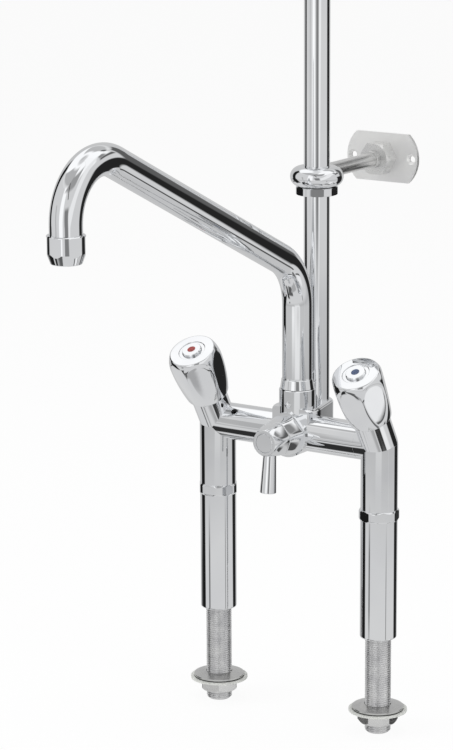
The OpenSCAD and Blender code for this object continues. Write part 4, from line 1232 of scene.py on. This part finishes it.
@dataclass
class Studio(Assembly):
    """The floor, the light tent that the metal mirrors, the world, the lamps and the camera."""

    floor_z: float = -79.4
    floor_half: float = 20000.0
    floor_white: float = 0.92
    floor_seen: float = 0.93
    tent_r: float = 2500.0
    tent_z: float = 180.0
    rest_glow: float = 0.72
    matt_light: float = 0.44
    lamps: tuple[Lamp, ...] = (
        Lamp("left_lamp", (-1.5, -1.8, 1.5), 1.4, 26.0),
        Lamp("right_lamp", (2.2, -0.6, 1.2), 1.2, 14.0),
        Lamp("top_lamp", (0.0, 0.2, 2.2), 1.6, 18.0),
    )
    view: View = View()

    def build(self) -> None:
        """Builds the studio."""
        self.tent()
        self.floor()
        self.world()
        for lamp in self.lamps:
            lamp.build()
        self.view.build()

    def tent(self) -> None:
        """The tent, as a sphere that only mirrored rays meet.

        A point lies along each whole degree of azimuth and elevation at the tent's radius, and its
        glow is the rest glow with each panel laid over it in order.
        """
        azimuth, elevation = np.meshgrid(np.arange(-180.0, 180.0), np.linspace(-90, 90, 181))
        glow = np.full(azimuth.shape, self.rest_glow)
        for panel in PANELS:
            cover = panel.cover(azimuth, elevation)
            glow = glow * (1 - cover) + panel.glow * cover
        a, e = np.radians(azimuth), np.radians(elevation)
        sphere = np.stack([np.cos(e) * np.cos(a), np.cos(e) * np.sin(a), np.sin(e)], -1)
        points = (sphere * self.tent_r + [0, 0, self.tent_z]).reshape(-1, 3) * MM
        index = np.arange(glow.size).reshape(glow.shape)
        low, high = index[:-1], index[1:]
        quads = np.stack([low, np.roll(low, -1, 1), np.roll(high, -1, 1), high], -1)
        mesh = bpy.data.meshes.new("light_tent")
        mesh.from_pydata(points.tolist(), [], quads.reshape(-1, 4).tolist())
        shade = mesh.attributes.new("glow", "FLOAT", "POINT")
        shade.data.foreach_set("value", glow.astype(np.float32).ravel())
        material = bpy.data.materials.new("tent_light")
        wiring = Wiring(material)
        shine = wiring.add("Attribute", attribute_name="glow")["Fac"]
        light = wiring.add("Emission", {"Strength": shine})["Emission"]
        wiring.add("OutputMaterial", {"Surface": light})
        mesh.materials.append(material)
        tent = put("light_tent", mesh)
        tent.visible_camera = tent.visible_diffuse = tent.visible_shadow = False
        tent.visible_transmission = tent.visible_volume_scatter = False

    def floor(self) -> None:
        """The pale floor, nearly white to the camera but for a soft shadow."""
        half, z = self.floor_half * MM, self.floor_z * MM
        mesh = bpy.data.meshes.new("studio_floor")
        corners = [(-half, -half, z), (half, -half, z), (half, half, z), (-half, half, z)]
        mesh.from_pydata(corners, [], [(0, 1, 2, 3)])
        material = bpy.data.materials.new("pale_floor")
        wiring = Wiring(material)
        rays = wiring.add("LightPath")
        either = wiring.add(
            "Math", {0: rays["Is Camera Ray"], 1: rays["Is Glossy Ray"]}, operation="MAXIMUM"
        )
        seen = wiring.add("Math", {0: either[0], 1: self.floor_seen}, operation="MULTIPLY")
        matt = wiring.add("BsdfDiffuse", {"Color": (*(self.floor_white,) * 3, 1)})
        glow = wiring.add("Emission", {"Strength": 1.0})
        mix = wiring.add("MixShader", {"Fac": seen[0], 1: matt["BSDF"], 2: glow["Emission"]})
        wiring.add("OutputMaterial", {"Surface": mix["Shader"]})
        mesh.materials.append(material)
        floor = put("studio_floor", mesh)
        floor.visible_glossy = False

    def world(self) -> None:
        """The world: white to the camera and in mirrors, and softer on matt surfaces."""
        world = bpy.data.worlds.new("studio")
        bpy.context.scene.world = world
        wiring = Wiring(world)
        rays = wiring.add("LightPath")
        mirrored = wiring.add(
            "Math", {0: rays["Is Camera Ray"], 1: rays["Is Glossy Ray"]}, operation="MAXIMUM"
        )
        through = wiring.add(
            "Math", {0: mirrored[0], 1: rays["Is Transmission Ray"]}, operation="MAXIMUM"
        )
        strength = wiring.add(
            "MapRange", {"Value": through[0], "To Min": self.matt_light, "To Max": 1.0}
        )
        background = wiring.add(
            "Background", {"Color": (1, 1, 1, 1), "Strength": strength["Result"]}
        )
        wiring.add("OutputWorld", {"Surface": background["Background"]})


def main() -> None:
    """Builds and dresses each sub-assembly in order, then the studio."""
    logging.basicConfig(level=logging.INFO, format="%(name)s: %(message)s")
    assemblies = (
        InletLeg(Side.HOT), InletLeg(Side.COLD), LegFittings(),
        UnionNut(Side.HOT, 4.0), UnionNut(Side.COLD, -17.5),
        Knob(Side.HOT, -20.0, "left_handle_assembly", "hot_dot", RED_ENAMEL),
        Knob(Side.COLD, 3.0, "right_handle_assembly", "cold_dot", BLUE_ENAMEL),
        Bridge(), Diverter(), Spout(), RiserBracket(), Studio(),
    )
    for assembly in assemblies:
        assembly.build()
        assembly.dress()
        log.info("%s is done", type(assembly).__name__)


if __name__ == "__main__":
    main()
